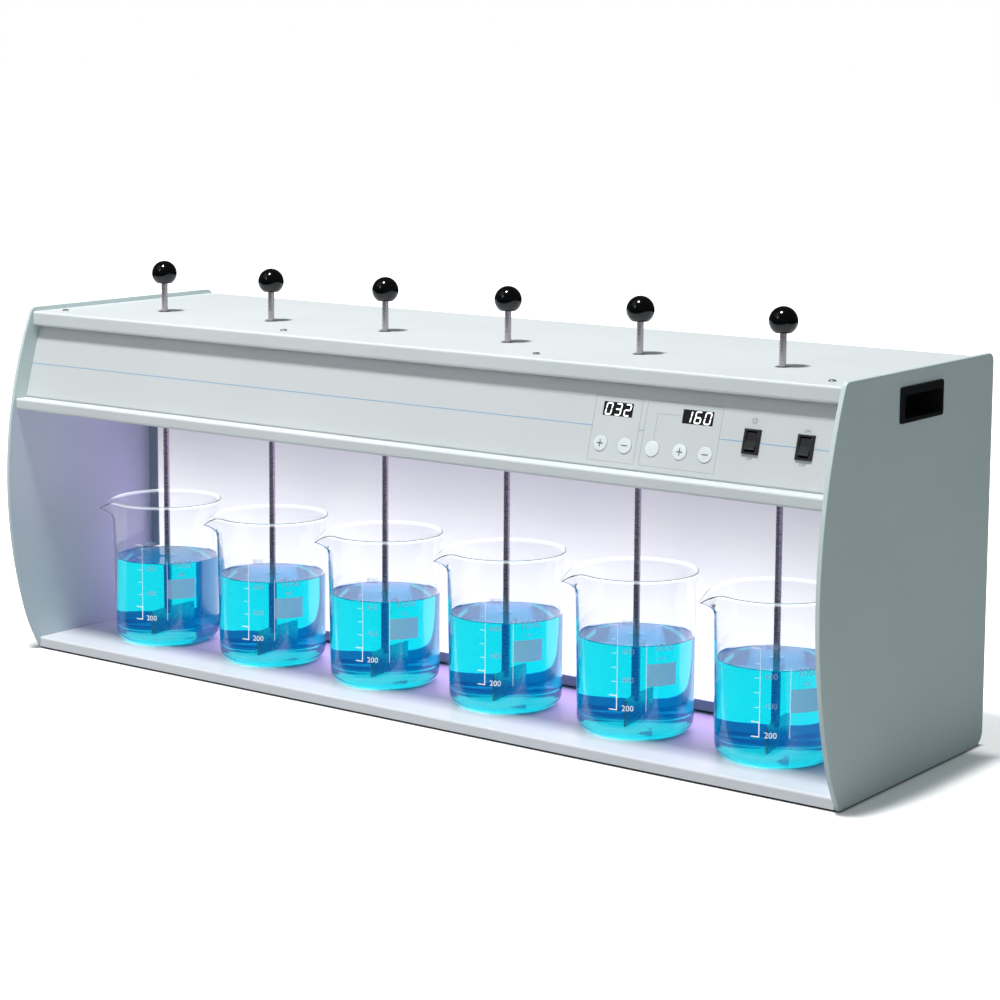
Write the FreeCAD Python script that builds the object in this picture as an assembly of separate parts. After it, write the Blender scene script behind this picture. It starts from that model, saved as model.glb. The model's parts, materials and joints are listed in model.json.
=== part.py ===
"""Six-place jar tester: a sheet-metal stand with a geared stirring head, rods, glass jars and a lit back wall.

Frame: millimetres, +X to the operator's right, +Y to the back, +Z up. The origin lies on the bench top, under
the middle of the side panels. Each function makes one sub-part, or one family of equal sub-parts.
"""

import FreeCAD, Part
import math
import os

V = FreeCAD.Vector
X_AXIS = V(1, 0, 0)
Y_AXIS = V(0, 1, 0)
Z_AXIS = V(0, 0, 1)

# ---------------------------------------------------------------- driving dimensions

# Stations: the stirring axes stand in one row from left to right
stations = 6
station_pitch = 144.0
end_room = 103.5  # last stirring axis to the inner face of the side panel
axis_y = -30.5

# Side panels: a plate with a bellied front edge and a straight back edge
panel_thickness = 4.0
panel_bottom = 1.0
panel_top = 352.0
back_y = 149.5
belly_y = -149.5  # the frontmost point of the belly
belly_z = 176.0
belly_radius = 448.0
toe_z = 44.0  # below this height the front edge curls back more tightly
toe_radius = 170.0
front_corner_radius = 6.5
back_corner_radius = 8.0
heel_radius = 13.0
panel_edge_radius = 0.8

# Sheet metal
sheet = 1.5
bend_radius = 2.4  # outer radius of each fold
seam = 0.25  # gap between a sheet's end and the side panel

# Base shelf
shelf_top = 12.0
shelf_bottom = 2.0
shelf_front = -111.6
foot_radius = 10.0
foot_inset_x = 34.0
foot_front_y = -88.0
foot_back_y = 122.0

# Head: a floor tray with a front ledge, a sloping fascia and a top cover with a front lip
head_floor = 250.5  # lower face of the head's floor
ledge_height = 11.5
ledge_front = -138.5
ledge_return = 22.5  # depth of the ledge's upper flange
cover_top = 348.0
lip_front = -113.2
lip_height = 14.6
lip_return = 6.0  # fold under the lip, back towards the fascia
cover_back = 148.6
rear_fold = 15.0
fascia_foot_y = -125.4
fascia_lean = 16.1  # degrees from upright
fascia_foot_flange = 9.0
fascia_top_flange = 24.0

# Light box behind the jars
diffuser_y = 52.0
diffuser_thickness = 3.0
frame_side = 10.4  # width of the frame's upright strips
frame_rail = 9.4  # height of the frame's rails
frame_thickness = 2.0
frame_gap = 2.4  # shadow gap under the lower rail
lamp_tray_back = 118.0
lamp_tray_wall = 1.0
lamp_radius = 8.0
lamp_heights = (78.0, 138.0)
lamp_y = 90.0
lamp_socket_depth = 5.0
holder_thickness = 16.0
holder_reach = 18.0  # tray's side to the holder's outer face

# Stirring rods and their spindles
rod_radius = 3.0
rod_bottom = 41.0
rod_top = 381.0
knob_radius = 12.4
knob_centre_z = 387.0
knob_flat_z = 377.0  # flat underside of the ball
blade_width = 72.0
blade_height = 24.0
blade_bottom = 23.0
blade_thickness = 1.5
blade_angle = 110.0  # direction of every blade at rest, in degrees from +X
spindle_radius = 8.0
spindle_bottom = 246.0
spindle_top = 346.6
collet_radius = 5.8
collet_length = 8.0
chuck_radius = 10.5
chuck_bevel = 2.0
chuck_cover_room = 11.3  # chuck's tip to the cover
chuck_flutes = 6
chuck_flute_radius = 2.2
cover_hole_radius = 6.6
running_gap = 0.05  # radial clearance of every turning or sliding shaft
axial_gap = 0.2

# Bushes and bridge
bush_radius = 11.0
bush_flange_radius = 14.0
bush_flange = 2.0
bush_tail = 3.0  # how far a bush reaches past its plate
bridge_clearance = 45.0  # cover's inner face to the bridge
bridge_sheet = 2.0
bridge_front_room = 5.0  # gear tips to the bridge's front leg
bridge_back_room = 6.0
bridge_end_room = 45.0
bridge_foot = 12.0

# Gear train: one gear on each spindle, one idler between neighbours, and the motor's pinion
stirrer_teeth = 24
pinion_teeth = 16
pressure_angle = 20.0
tooth_backlash = 0.35
root_clearance = 0.3  # of the module
gear_floor_room = 8.5  # head's floor to the gears
gear_width = 8.0
gear_hub_radius = 14.0
gear_hub_height = 13.0  # from the gear's lower face
idler_hub_radius = 10.0
idler_axle_radius = 5.0
idler_collar_radius = 8.0
idler_ring_height = 1.2
motor_radius = 33.0
motor_cover_room = 9.5  # motor to the cover
motor_fins = 3
motor_fin_width = 4.0
motor_fin_gap = 2.0
motor_fin_depth = 2.0
motor_flange = 74.0
motor_flange_thickness = 3.0
motor_flange_corner = 6.0
motor_shaft_radius = 4.0
motor_shaft_depth = 14.0  # how far the shaft reaches into the motor
motor_boss_radius = 12.0

# Control fascia: places are measured from the right-hand inner wall and up the slope from the ledge
speed_display_from_right = 215.2
time_display_from_right = 135.7
display_height_up = 50.8
display_width = 30.0
display_height = 12.0
display_recess = 0.3
display_body_margin = 3.0
key_radius = 6.85
key_height_up = 20.7
key_half_spacing = 12.35
set_key_offset = 39.6  # from the time display's centre
key_gap = 0.3
key_rise = 0.8
key_travel = 0.8
key_flange_radius = 8.2
key_flange = 1.0
key_stem_radius = 2.0
board_depth = 10.0  # fascia's face to the board
board_thickness = 1.6
board_bottom_up = 8.0
board_top_up = 60.0
board_side_margin = 33.0
board_post_radius = 3.0
key_switch_height = 2.4
key_switch_side = 6.0
lamp_switch_from_right = 81.4
power_switch_from_right = 31.5
switch_height_up = 35.8
bezel_width = 15.6
bezel_height = 20.9
bezel_rise = 1.8
switch_body_width = 12.8
switch_body_height = 18.8
switch_body_depth = 17.0
terminal_width = 4.8
terminal_thickness = 0.8
terminal_length = 8.0  # the tabs behind a switch
terminal_offset = 5.0  # of each tab from the switch's middle
switch_gap = 0.2
window_reach = 3.0  # of the cutting blocks to each side of the fascia's face
rocker_width = 9.6
rocker_radius = 8.4
rocker_pivot_depth = 3.0
rocker_pin_radius = 1.0
rocker_valley = 4.0  # pivot to the valley of the rocker's face
rocker_slope = 9.0
rocker_tilt = 10.0  # on at rest: the upper half is pressed in

# Carry handles: a cup through each side panel
handle_front_y = -24.0
handle_back_y = 52.6
handle_bottom = 308.0
handle_top = 338.6
handle_rim = 1.5  # how far the rim stands out of the panel
handle_rim_width = 7.0  # at the front; the other sides are narrower
handle_rim_other = 3.6
handle_lip = 7.4
handle_depth = 26.0
handle_wall = 2.0
handle_corner = 2.5

# Rear cover and mains inlet
rear_foot_flange = 14.0
vent_count = 14
vent_pitch = 50.0
vent_width = 36.0
vent_height = 4.0
vent_row_heights = (36.0, 312.0)
inlet_from_right = 62.0
inlet_height = 70.0
inlet_flange_width = 50.0
inlet_flange_height = 24.0
inlet_flange_thickness = 2.2
inlet_body_width = 28.0
inlet_body_height = 20.0
inlet_body_depth = 20.0
inlet_socket_width = 24.5
inlet_socket_height = 16.5
inlet_socket_depth = 16.0
inlet_pin_spacing = 7.0
inlet_pin_length = 12.0

# Cover screws
screw_inset = 22.5  # outermost screw to the side panel's inner face
screws_per_row = 4
screw_y = -90.0
screw_head_radius = 3.4
screw_head_height = 1.7
screw_radius = 2.0
screw_length = 8.0

# Jars: spouted glass beakers
jar_radius = 52.5
jar_wall = 2.0
jar_floor = 3.0
jar_height = 145.0
jar_corner = 13.0
jar_punt_radius = 38.0
jar_punt_rise = 0.8
jar_rim_radius = 55.6
jar_flare_height = 14.0
spout_angle = 222.0  # degrees from +X
spout_reach = 69.0  # the pouring tip to the jar's axis
spout_drop = 11.0  # the pouring tip below the rim
spout_tip_radius = 5.0
spout_height = 24.0
spout_curl = 1.5  # how sharply the spout curls outward
spout_dip_start = 44.0

# ---------------------------------------------------------------- derived places

inner_half = (stations - 1) / 2 * station_pitch + end_room
sheet_half = inner_half - seam
station_xs = [(k - (stations - 1) / 2) * station_pitch for k in range(stations)]
idler_xs = [x + station_pitch / 2 for x in station_xs[:-1]]
gear_module = station_pitch / 2 / stirrer_teeth
gear_pitch_radius = gear_module * stirrer_teeth / 2
gear_tip_radius = gear_pitch_radius + gear_module
pinion_pitch_radius = gear_module * pinion_teeth / 2
motor_x = idler_xs[len(idler_xs) // 2]
motor_y = axis_y + gear_pitch_radius + pinion_pitch_radius

# Direction of one tooth's middle, in degrees: a tooth of each gear stands in a gap of its neighbour
stirrer_tooth_step = 360 / stirrer_teeth
pinion_tooth_step = 360 / pinion_teeth
spindle_phase = 0.0
idler_phase = 180 - stirrer_tooth_step / 2 - spindle_phase
teeth_behind_idler = (90 - idler_phase) / stirrer_tooth_step
pinion_phase = 270 + pinion_tooth_step * (teeth_behind_idler - 0.5)

floor_top = head_floor + sheet
cover_under = cover_top - sheet
ledge_top = head_floor + ledge_height
lean = math.radians(fascia_lean)
bridge_top = cover_top - bridge_clearance
upper_bush_base = bridge_top + bush_flange
gear_bottom = floor_top + gear_floor_room
gear_hub_top = gear_bottom + gear_hub_height


# ---------------------------------------------------------------- shape helpers


def block(x0, x1, y0, y1, z0, z1):
    return Part.makeBox(x1 - x0, y1 - y0, z1 - z0, V(x0, y0, z0))


def rod(x, y, z0, z1, radius):
    return Part.makeCylinder(radius, z1 - z0, V(x, y, z0))


def turned(profile, x, y):
    """A solid of revolution about an upright axis, from (radius, height) points joined by straight lines."""
    points = [V(r, 0, z) for r, z in profile]
    face = Part.Face(Part.makePolygon(points + points[:1]))
    solid = face.revolve(V(0, 0, 0), Z_AXIS, 360)
    solid.translate(V(x, y, 0))
    return solid


def folded_sheet(points, thickness, half_length, radius=bend_radius):
    """A sheet folded along X from the (y, z) points of its outer face. A negative thickness turns it over."""
    corners = [V(-half_length, y, z) for y, z in points]
    edges = []
    start = corners[0]
    for before, corner, after in zip(corners, corners[1:], corners[2:]):
        back = (before - corner).normalize()
        ahead = (after - corner).normalize()
        half_angle = back.getAngle(ahead) / 2
        cut = radius / math.tan(half_angle)
        middle = (back + ahead).normalize() * (radius / math.sin(half_angle) - radius)
        edges.append(Part.makeLine(start, corner + back * cut))
        edges.append(Part.Arc(corner + back * cut, corner + middle, corner + ahead * cut).toShape())
        start = corner + ahead * cut
    edges.append(Part.makeLine(start, corners[-1]))
    face = Part.Wire(edges).makeOffset2D(thickness, 0, True, True, False)
    return face.extrude(V(2 * half_length, 0, 0))


def rounded_edges(solid, radius, wanted):
    """The solid with a fillet on every edge that the test picks."""
    return solid.makeFillet(radius, [edge for edge in solid.Edges if wanted(edge)])


def runs_along(edge, axis):
    """True for a straight edge parallel to the axis."""
    if not isinstance(edge.Curve, Part.Line):
        return False
    return abs(edge.tangentAt(edge.FirstParameter).dot(axis)) > 0.999


def rounded_block(x0, x1, y0, y1, z0, z1, radius, axis):
    """A block whose four edges along the axis are rounded."""
    return rounded_edges(block(x0, x1, y0, y1, z0, z1), radius, lambda e: runs_along(e, axis))


def mirrored(shape):
    """The left-hand twin of a right-hand piece."""
    return shape.mirror(V(0, 0, 0), X_AXIS)


def group(shapes):
    return Part.makeCompound(shapes)


# ---------------------------------------------------------------- side panels


def side_outline():
    """The panel's closed outline in the YZ plane: toe arc, belly arc, top, back and bottom."""
    centre = V(0, belly_y + belly_radius, belly_z)

    def on_arc(middle, radius, z):
        rise = (z - middle.z) / radius
        return V(0, middle.y - radius * math.sqrt(1 - rise * rise), z)

    knee = on_arc(centre, belly_radius, toe_z)
    toe_centre = knee + (centre - knee).normalize() * toe_radius
    toe = on_arc(toe_centre, toe_radius, panel_bottom)
    brow = on_arc(centre, belly_radius, panel_top)
    toe_arc = Part.Arc(toe, on_arc(toe_centre, toe_radius, (panel_bottom + toe_z) / 2), knee)
    belly_arc = Part.Arc(knee, V(0, belly_y, belly_z), brow)
    back = Part.makePolygon([brow, V(0, back_y, panel_top), V(0, back_y, panel_bottom), toe])
    return Part.Wire([toe_arc.toShape(), belly_arc.toShape()] + back.Edges)


def handle_opening(margin):
    """The space that the handle's cup takes in the panel, with a margin all round."""
    depth = handle_depth + panel_thickness
    return rounded_block(
        inner_half - depth,
        inner_half + panel_thickness + handle_rim,
        handle_front_y + handle_rim - margin,
        handle_back_y - handle_rim + margin,
        handle_bottom + handle_rim - margin,
        handle_top - handle_rim + margin,
        handle_corner,
        X_AXIS,
    )


def side_panel():
    """The right-hand panel: a bellied plate with a cut-out for the carry handle."""
    panel = Part.Face(side_outline()).extrude(V(panel_thickness, 0, 0))
    for radius, y, z in (
        (front_corner_radius, None, panel_top),
        (back_corner_radius, back_y, panel_top),
        (heel_radius, back_y, panel_bottom),
    ):

        def at_corner(edge):
            middle = edge.CenterOfMass
            at_front = y is None and middle.y < 0
            at_back = y is not None and abs(middle.y - y) < 1e-6
            return runs_along(edge, X_AXIS) and abs(middle.z - z) < 1e-6 and (at_front or at_back)

        panel = rounded_edges(panel, radius, at_corner)
    panel = rounded_edges(panel, panel_edge_radius, lambda e: e.CenterOfMass.x > panel_thickness - 1e-6)
    panel.translate(V(inner_half, 0, 0))
    return panel.cut(handle_opening(0.0))


def carry_handle():
    """A moulded cup: a bevelled rim outside the panel, and a hollow that opens upward behind the top lip."""
    outer_face = inner_half + panel_thickness
    rim = rounded_block(
        outer_face, outer_face + handle_rim,
        handle_front_y, handle_back_y, handle_bottom, handle_top,
        handle_corner, X_AXIS,
    )
    rim = rounded_edges(rim, handle_rim * 0.6, lambda e: e.CenterOfMass.x > outer_face + handle_rim - 1e-6)
    cup = rim.fuse(handle_opening(-seam))
    mouth_front = handle_front_y + handle_rim_width
    mouth_back = handle_back_y - handle_rim_other
    mouth_bottom = handle_bottom + handle_rim_other
    mouth = rounded_block(
        outer_face - handle_depth, outer_face + 2 * handle_rim,
        mouth_front, mouth_back, mouth_bottom, handle_top - handle_lip,
        handle_corner, X_AXIS,
    )
    finger_room = block(
        outer_face - handle_depth, outer_face - panel_thickness,
        mouth_front, mouth_back,
        handle_top - handle_lip - handle_corner, handle_top - handle_rim - handle_wall,
    )
    return cup.cut(mouth.fuse(finger_room)).removeSplitter()


# ---------------------------------------------------------------- base, head and rear sheets


def base_shelf():
    """The shelf that the jars stand on: folded down at the front and the back, with closed ends."""
    rear = cover_back - 2 * sheet
    shelf = folded_sheet(
        [(shelf_front, shelf_bottom), (shelf_front, shelf_top), (rear, shelf_top), (rear, shelf_bottom)],
        sheet, sheet_half,
    )
    for side in (-1, 1):
        outer = side * sheet_half
        ends = sorted((outer, outer - side * sheet))
        shelf = shelf.fuse(
            block(
                ends[0], ends[1], shelf_front + bend_radius, rear - bend_radius, shelf_bottom, shelf_top - sheet,
            )
        )
    return shelf.removeSplitter()


def rubber_feet():
    """Six tapered feet under the shelf, from the bench up to the shelf's lower face."""
    height = shelf_top - sheet
    feet = []
    for x in (-inner_half + foot_inset_x, 0.0, inner_half - foot_inset_x):
        for y in (foot_front_y, foot_back_y):
            feet.append(Part.makeCone(foot_radius * 0.85, foot_radius, height, V(x, y, 0)))
    return group(feet)


def head_tray():
    """The head's floor, folded up into the front ledge and into a rear flange, with the spindles' holes."""
    rear = cover_back - 2 * sheet
    tray = folded_sheet(
        [
            (ledge_front + ledge_return, ledge_top),
            (ledge_front, ledge_top),
            (ledge_front, head_floor),
            (rear, head_floor),
            (rear, ledge_top),
        ],
        -sheet, sheet_half,
    )
    for x in station_xs:
        tray = tray.cut(rod(x, axis_y, head_floor - 1, floor_top + 1, bush_radius))
    return tray


def top_cover():
    """The lid of the head, with the front lip, the rear fold, and a hole for each rod and each screw."""
    cover = folded_sheet(
        [
            (lip_front + lip_return, cover_top - lip_height),
            (lip_front, cover_top - lip_height),
            (lip_front, cover_top),
            (cover_back, cover_top),
            (cover_back, cover_top - rear_fold),
        ],
        sheet, sheet_half,
    )
    holes = [rod(x, axis_y, cover_under - 1, cover_top + 1, cover_hole_radius) for x in station_xs]
    holes += [rod(x, screw_y, cover_under - 1, cover_top + 1, screw_radius) for x in screw_xs()]
    return cover.cut(holes)


def screw_xs():
    reach = inner_half - screw_inset
    return [-reach + 2 * reach * k / (screws_per_row - 1) for k in range(screws_per_row)]


def cover_screws():
    """Pan-head screws through the top cover into the fascia's upper flange."""
    tip = cover_top - screw_length
    shoulder = cover_top + screw_head_height
    profile = [
        (0, tip),
        (screw_radius, tip),
        (screw_radius, cover_top),
        (screw_head_radius, cover_top),
        (screw_head_radius, cover_top + 0.5 * screw_head_height),
        (0.65 * screw_head_radius, shoulder),
        (0, shoulder),
    ]
    return group([turned(profile, x, screw_y) for x in screw_xs()])


def rear_cover():
    """The closing sheet at the back, inside the cover's rear fold, with vent slots and the inlet's cut-out."""
    face_y = cover_back - sheet
    fold_starts = cover_top - bend_radius
    top = fold_starts - axial_gap
    cover = folded_sheet(
        [(face_y - rear_foot_flange, shelf_top), (face_y, shelf_top), (face_y, top)],
        -sheet, sheet_half,
    )
    slots = []
    for z in vent_row_heights:
        for k in range(vent_count):
            x = (k - (vent_count - 1) / 2) * vent_pitch
            slots.append(
                rounded_block(
                    x - vent_width / 2, x + vent_width / 2, face_y - 2 * sheet, face_y + sheet,
                    z - vent_height / 2, z + vent_height / 2, vent_height * 0.48, Y_AXIS,
                )
            )
    slots.append(inlet_block(inlet_body_width, inlet_body_height, face_y - 2 * sheet, face_y + sheet))
    return cover.cut(slots)


def inlet_block(width, height, y0, y1):
    """A block centred on the mains inlet's axis."""
    x = inner_half - inlet_from_right
    return block(x - width / 2, x + width / 2, y0, y1, inlet_height - height / 2, inlet_height + height / 2)


def mains_inlet():
    """A recessed three-pin appliance inlet with a flange on the rear cover's face."""
    face_y = cover_back - sheet
    x = inner_half - inlet_from_right
    flange = inlet_block(inlet_flange_width, inlet_flange_height, face_y, face_y + inlet_flange_thickness)
    flange = rounded_edges(flange, 3.0, lambda e: runs_along(e, Y_AXIS))
    body = inlet_block(inlet_body_width, inlet_body_height, face_y - inlet_body_depth, face_y)
    mouth_y = face_y + inlet_flange_thickness
    floor_y = mouth_y - inlet_socket_depth
    socket = inlet_block(inlet_socket_width, inlet_socket_height, floor_y, mouth_y)
    shell = flange.fuse(body).cut(socket)
    pins = []
    for column, rise in ((-1, -2.0), (0, 2.0), (1, -2.0)):
        px = x + column * inlet_pin_spacing
        pz = inlet_height + rise
        pins.append(block(px - 1, px + 1, floor_y - 1, floor_y + inlet_pin_length, pz - 2, pz + 2))
    return shell.multiFuse(pins).removeSplitter()


# ---------------------------------------------------------------- light box


def light_box_span():
    """Half width, bottom and top of the light box between the panels, the shelf and the head's floor."""
    return sheet_half, shelf_top + frame_gap, head_floor - seam


def diffuser_frame():
    """A picture frame round the diffuser: flat front strips and a skirt round the diffuser's edge."""
    half, bottom, top = light_box_span()
    front = diffuser_y - frame_thickness
    frame = block(-half, half, front, diffuser_y + diffuser_thickness, bottom, top)
    window = block(
        -half + frame_side, half - frame_side, front - 1, diffuser_y + 1,
        bottom + frame_rail, top - frame_rail,
    )
    pocket = block(
        -half + frame_thickness, half - frame_thickness, diffuser_y, diffuser_y + diffuser_thickness + 1,
        bottom + frame_thickness, top - frame_thickness,
    )
    return frame.cut([window, pocket])


def light_diffuser():
    """The opal sheet that fills the frame's pocket."""
    half, bottom, top = light_box_span()
    inset = frame_thickness + seam
    return block(
        -half + inset, half - inset, diffuser_y, diffuser_y + diffuser_thickness,
        bottom + inset, top - inset,
    )


def lamp_tray():
    """The white reflector tray behind the diffuser, open to the front."""
    half, bottom, top = light_box_span()
    front = diffuser_y + diffuser_thickness
    tray = block(-half, half, front, lamp_tray_back, bottom, top)
    wall = lamp_tray_wall
    room = block(-half + wall, half - wall, front - 1, lamp_tray_back - wall, bottom + wall, top - wall)
    return tray.cut(room)


def holder_faces():
    """X of a lamp holder's outer and inner face, on the right-hand side."""
    outer = light_box_span()[0] - lamp_tray_wall - holder_reach
    return outer, outer - holder_thickness


def lamp_holders():
    """Four holders on the tray's back, each with a recess for a tube's end."""
    outer, inner = holder_faces()
    holders = []
    for z in lamp_heights:
        reach = lamp_radius + 4.0
        nose = Part.makeCylinder(reach, holder_thickness, V(inner, lamp_y, z), X_AXIS)
        stem = block(inner, outer, lamp_y, lamp_tray_back - lamp_tray_wall, z - reach, z + reach)
        recess = Part.makeCylinder(lamp_radius + seam, lamp_socket_depth, V(inner, lamp_y, z), X_AXIS)
        holder = nose.fuse(stem).cut(recess).removeSplitter()
        holders += [holder, mirrored(holder)]
    return group(holders)


def lamp_tubes():
    """Two slim tubes that run from holder to holder."""
    reach = holder_faces()[1] + lamp_socket_depth - axial_gap
    return group(
        [Part.makeCylinder(lamp_radius, 2 * reach, V(-reach, lamp_y, z), X_AXIS) for z in lamp_heights]
    )


# ---------------------------------------------------------------- control fascia


def on_slope(shape):
    """Lays a shape, made with x to the right, y up the slope and z outward, onto the fascia's outer face."""
    placed = shape.copy()
    placed.rotate(V(0, 0, 0), X_AXIS, 90 - fascia_lean)
    placed.translate(V(0, fascia_foot_y, ledge_top))
    return placed


def key_places():
    """(x, up) of each key: two under the speed display, then the set key and two under the time display."""
    speed_x = inner_half - speed_display_from_right
    time_x = inner_half - time_display_from_right
    xs = [
        speed_x - key_half_spacing,
        speed_x + key_half_spacing,
        time_x - set_key_offset,
        time_x - key_half_spacing,
        time_x + key_half_spacing,
    ]
    return [(x, key_height_up) for x in xs]


def display_xs():
    return [inner_half - speed_display_from_right, inner_half - time_display_from_right]


def switch_xs():
    return [inner_half - lamp_switch_from_right, inner_half - power_switch_from_right]


def board_corners():
    x0, x1 = display_xs()
    return x0 - board_side_margin, x1 + board_side_margin, board_bottom_up, board_top_up


def centred_block(x, up, width, height, z0, z1):
    return block(x - width / 2, x + width / 2, up - height / 2, up + height / 2, z0, z1)


def fascia_panel():
    """The sloping front sheet with its flanges, its cut-outs and the posts that carry the control board."""
    rise = cover_under - ledge_top
    shoulder_y = fascia_foot_y + rise * math.tan(lean)
    panel = folded_sheet(
        [
            (fascia_foot_y + fascia_foot_flange, ledge_top),
            (fascia_foot_y, ledge_top),
            (shoulder_y, cover_under),
            (shoulder_y + fascia_top_flange, cover_under),
        ],
        sheet, sheet_half, radius=sheet + 0.3,
    )
    cuts = [
        centred_block(x, display_height_up, display_width, display_height, -window_reach, window_reach)
        for x in display_xs()
    ]
    cuts += [
        Part.makeCylinder(key_radius + key_gap, 2 * window_reach, V(x, up, -window_reach))
        for x, up in key_places()
    ]
    for x in switch_xs():
        width = switch_body_width + 2 * switch_gap
        height = switch_body_height + 2 * switch_gap
        cuts.append(centred_block(x, switch_height_up, width, height, -window_reach, window_reach))
    panel = panel.cut([on_slope(cut) for cut in cuts])
    panel = panel.cut([rod(x, screw_y, cover_under - 3, cover_under + 1, screw_radius) for x in screw_xs()])
    x0, x1, y0, y1 = board_corners()
    posts = []
    for x in (x0 + 5, x1 - 5):
        for y in (y0 + 5, y1 - 5):
            post = Part.makeCylinder(board_post_radius, board_depth - sheet, V(x, y, -board_depth))
            posts.append(on_slope(post))
    return panel.multiFuse(posts).removeSplitter()


def control_board():
    """The circuit board behind the fascia, with one low switch body behind each key."""
    x0, x1, y0, y1 = board_corners()
    board = block(x0, x1, y0, y1, -board_depth - board_thickness, -board_depth)
    bodies = [
        centred_block(x, up, key_switch_side, key_switch_side, -board_depth, -board_depth + key_switch_height)
        for x, up in key_places()
    ]
    return on_slope(board.multiFuse(bodies).removeSplitter())


def display_modules():
    """Two three-digit display blocks whose faces fill the fascia's windows."""
    modules = []
    for x in display_xs():
        fit = 2 * seam
        face = centred_block(
            x, display_height_up, display_width - fit, display_height - fit, -2 * sheet, -display_recess
        )
        body = centred_block(
            x, display_height_up,
            display_width + 2 * display_body_margin, display_height + display_body_margin,
            -board_depth, -sheet - 0.1,
        )
        modules.append(on_slope(face.fuse(body).removeSplitter()))
    return group(modules)


def key(x, up):
    """A round key with a slightly crowned cap, a flange behind the sheet and a stem over its switch."""
    stem_tip = -board_depth + key_switch_height + key_travel + 0.1
    flange_top = -sheet - key_travel / 4
    flange_bottom = flange_top - key_flange
    profile = [
        (0, stem_tip),
        (key_stem_radius, stem_tip),
        (key_stem_radius, flange_bottom),
        (key_flange_radius, flange_bottom),
        (key_flange_radius, flange_top),
        (key_radius, flange_top),
        (key_radius, key_rise * 0.4),
        (key_radius - 0.5, key_rise * 0.85),
        (0, key_rise),
    ]
    return on_slope(turned(profile, x, up))


def switch_bodies():
    """Two switch housings: a bezel on the fascia's face and a hollow body behind it, with the pivot's holes."""
    bodies = []
    for x in switch_xs():
        bezel = centred_block(x, switch_height_up, bezel_width, bezel_height, 0, bezel_rise)
        bezel = rounded_edges(bezel, 0.7, lambda e: e.CenterOfMass.z > bezel_rise - 1e-6)
        body = centred_block(
            x, switch_height_up, switch_body_width, switch_body_height, -switch_body_depth, 0
        )
        well_radius = rocker_radius + 0.3
        well = centred_block(
            x, switch_height_up, rocker_width + 2 * switch_gap, 2 * well_radius,
            -rocker_pivot_depth - well_radius, bezel_rise + 1,
        )
        pivot = Part.makeCylinder(
            rocker_pin_radius + running_gap, switch_body_width - 1.2,
            V(x - switch_body_width / 2 + 0.6, switch_height_up, -rocker_pivot_depth), X_AXIS,
        )
        terminals = [
            block(
                x - terminal_width / 2, x + terminal_width / 2,
                up - terminal_thickness / 2, up + terminal_thickness / 2,
                -switch_body_depth - terminal_length, -switch_body_depth,
            )
            for up in (switch_height_up - terminal_offset, switch_height_up + terminal_offset)
        ]
        housing = bezel.fuse(body).cut([well, pivot]).multiFuse(terminals).removeSplitter()
        bodies.append(on_slope(housing))
    return group(bodies)


def rocker(x):
    """A rocker on two stub pins: a drum whose face is a shallow valley, tipped so that its upper half is in."""
    half = rocker_width / 2
    drum = Part.makeCylinder(rocker_radius, rocker_width, V(-half, 0, 0), X_AXIS)
    valley_rise = rocker_radius * math.tan(math.radians(rocker_slope))
    floor = -rocker_radius * 0.75
    outline = [
        V(-half, -rocker_radius, floor),
        V(-half, -rocker_radius, rocker_valley + valley_rise),
        V(-half, 0, rocker_valley),
        V(-half, rocker_radius, rocker_valley + valley_rise),
        V(-half, rocker_radius, floor),
    ]
    wedge = Part.Face(Part.makePolygon(outline + outline[:1])).extrude(V(rocker_width, 0, 0))
    pins = Part.makeCylinder(
        rocker_pin_radius, switch_body_width - 1.4, V(0.7 - switch_body_width / 2, 0, 0), X_AXIS
    )
    shape = drum.common(wedge).fuse(pins).removeSplitter()
    shape.rotate(V(0, 0, 0), X_AXIS, -rocker_tilt)
    shape.translate(V(x, switch_height_up, -rocker_pivot_depth))
    return on_slope(shape)


# ---------------------------------------------------------------- gear train


def toothed_disc(teeth, z0, z1, first_tooth):
    """A spur gear blank with involute flanks, each flank drawn through root, pitch and tip.

    first_tooth is the direction of one tooth's middle, in degrees.
    """
    pitch_radius = gear_module * teeth / 2
    base_radius = pitch_radius * math.cos(math.radians(pressure_angle))
    tip_radius = pitch_radius + gear_module
    root_radius = pitch_radius - gear_module * (1 + root_clearance)
    pitch_half = math.pi / teeth / 2 - tooth_backlash / 2 / pitch_radius

    def roll(radius):
        """The involute's angle at a radius; below the base circle the flank is radial."""
        if radius <= base_radius:
            return 0.0
        ratio = math.sqrt((radius / base_radius) ** 2 - 1)
        return ratio - math.atan(ratio)

    flank = [
        (radius, pitch_half + roll(pitch_radius) - roll(radius))
        for radius in (root_radius, pitch_radius, tip_radius)
    ]
    points = []
    for k in range(teeth):
        middle = math.radians(first_tooth) + 2 * math.pi * k / teeth
        for radius, half in flank:
            points.append(V(radius * math.cos(middle - half), radius * math.sin(middle - half), z0))
        for radius, half in reversed(flank):
            points.append(V(radius * math.cos(middle + half), radius * math.sin(middle + half), z0))
    return Part.Face(Part.makePolygon(points + points[:1])).extrude(V(0, 0, z1 - z0))


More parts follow.
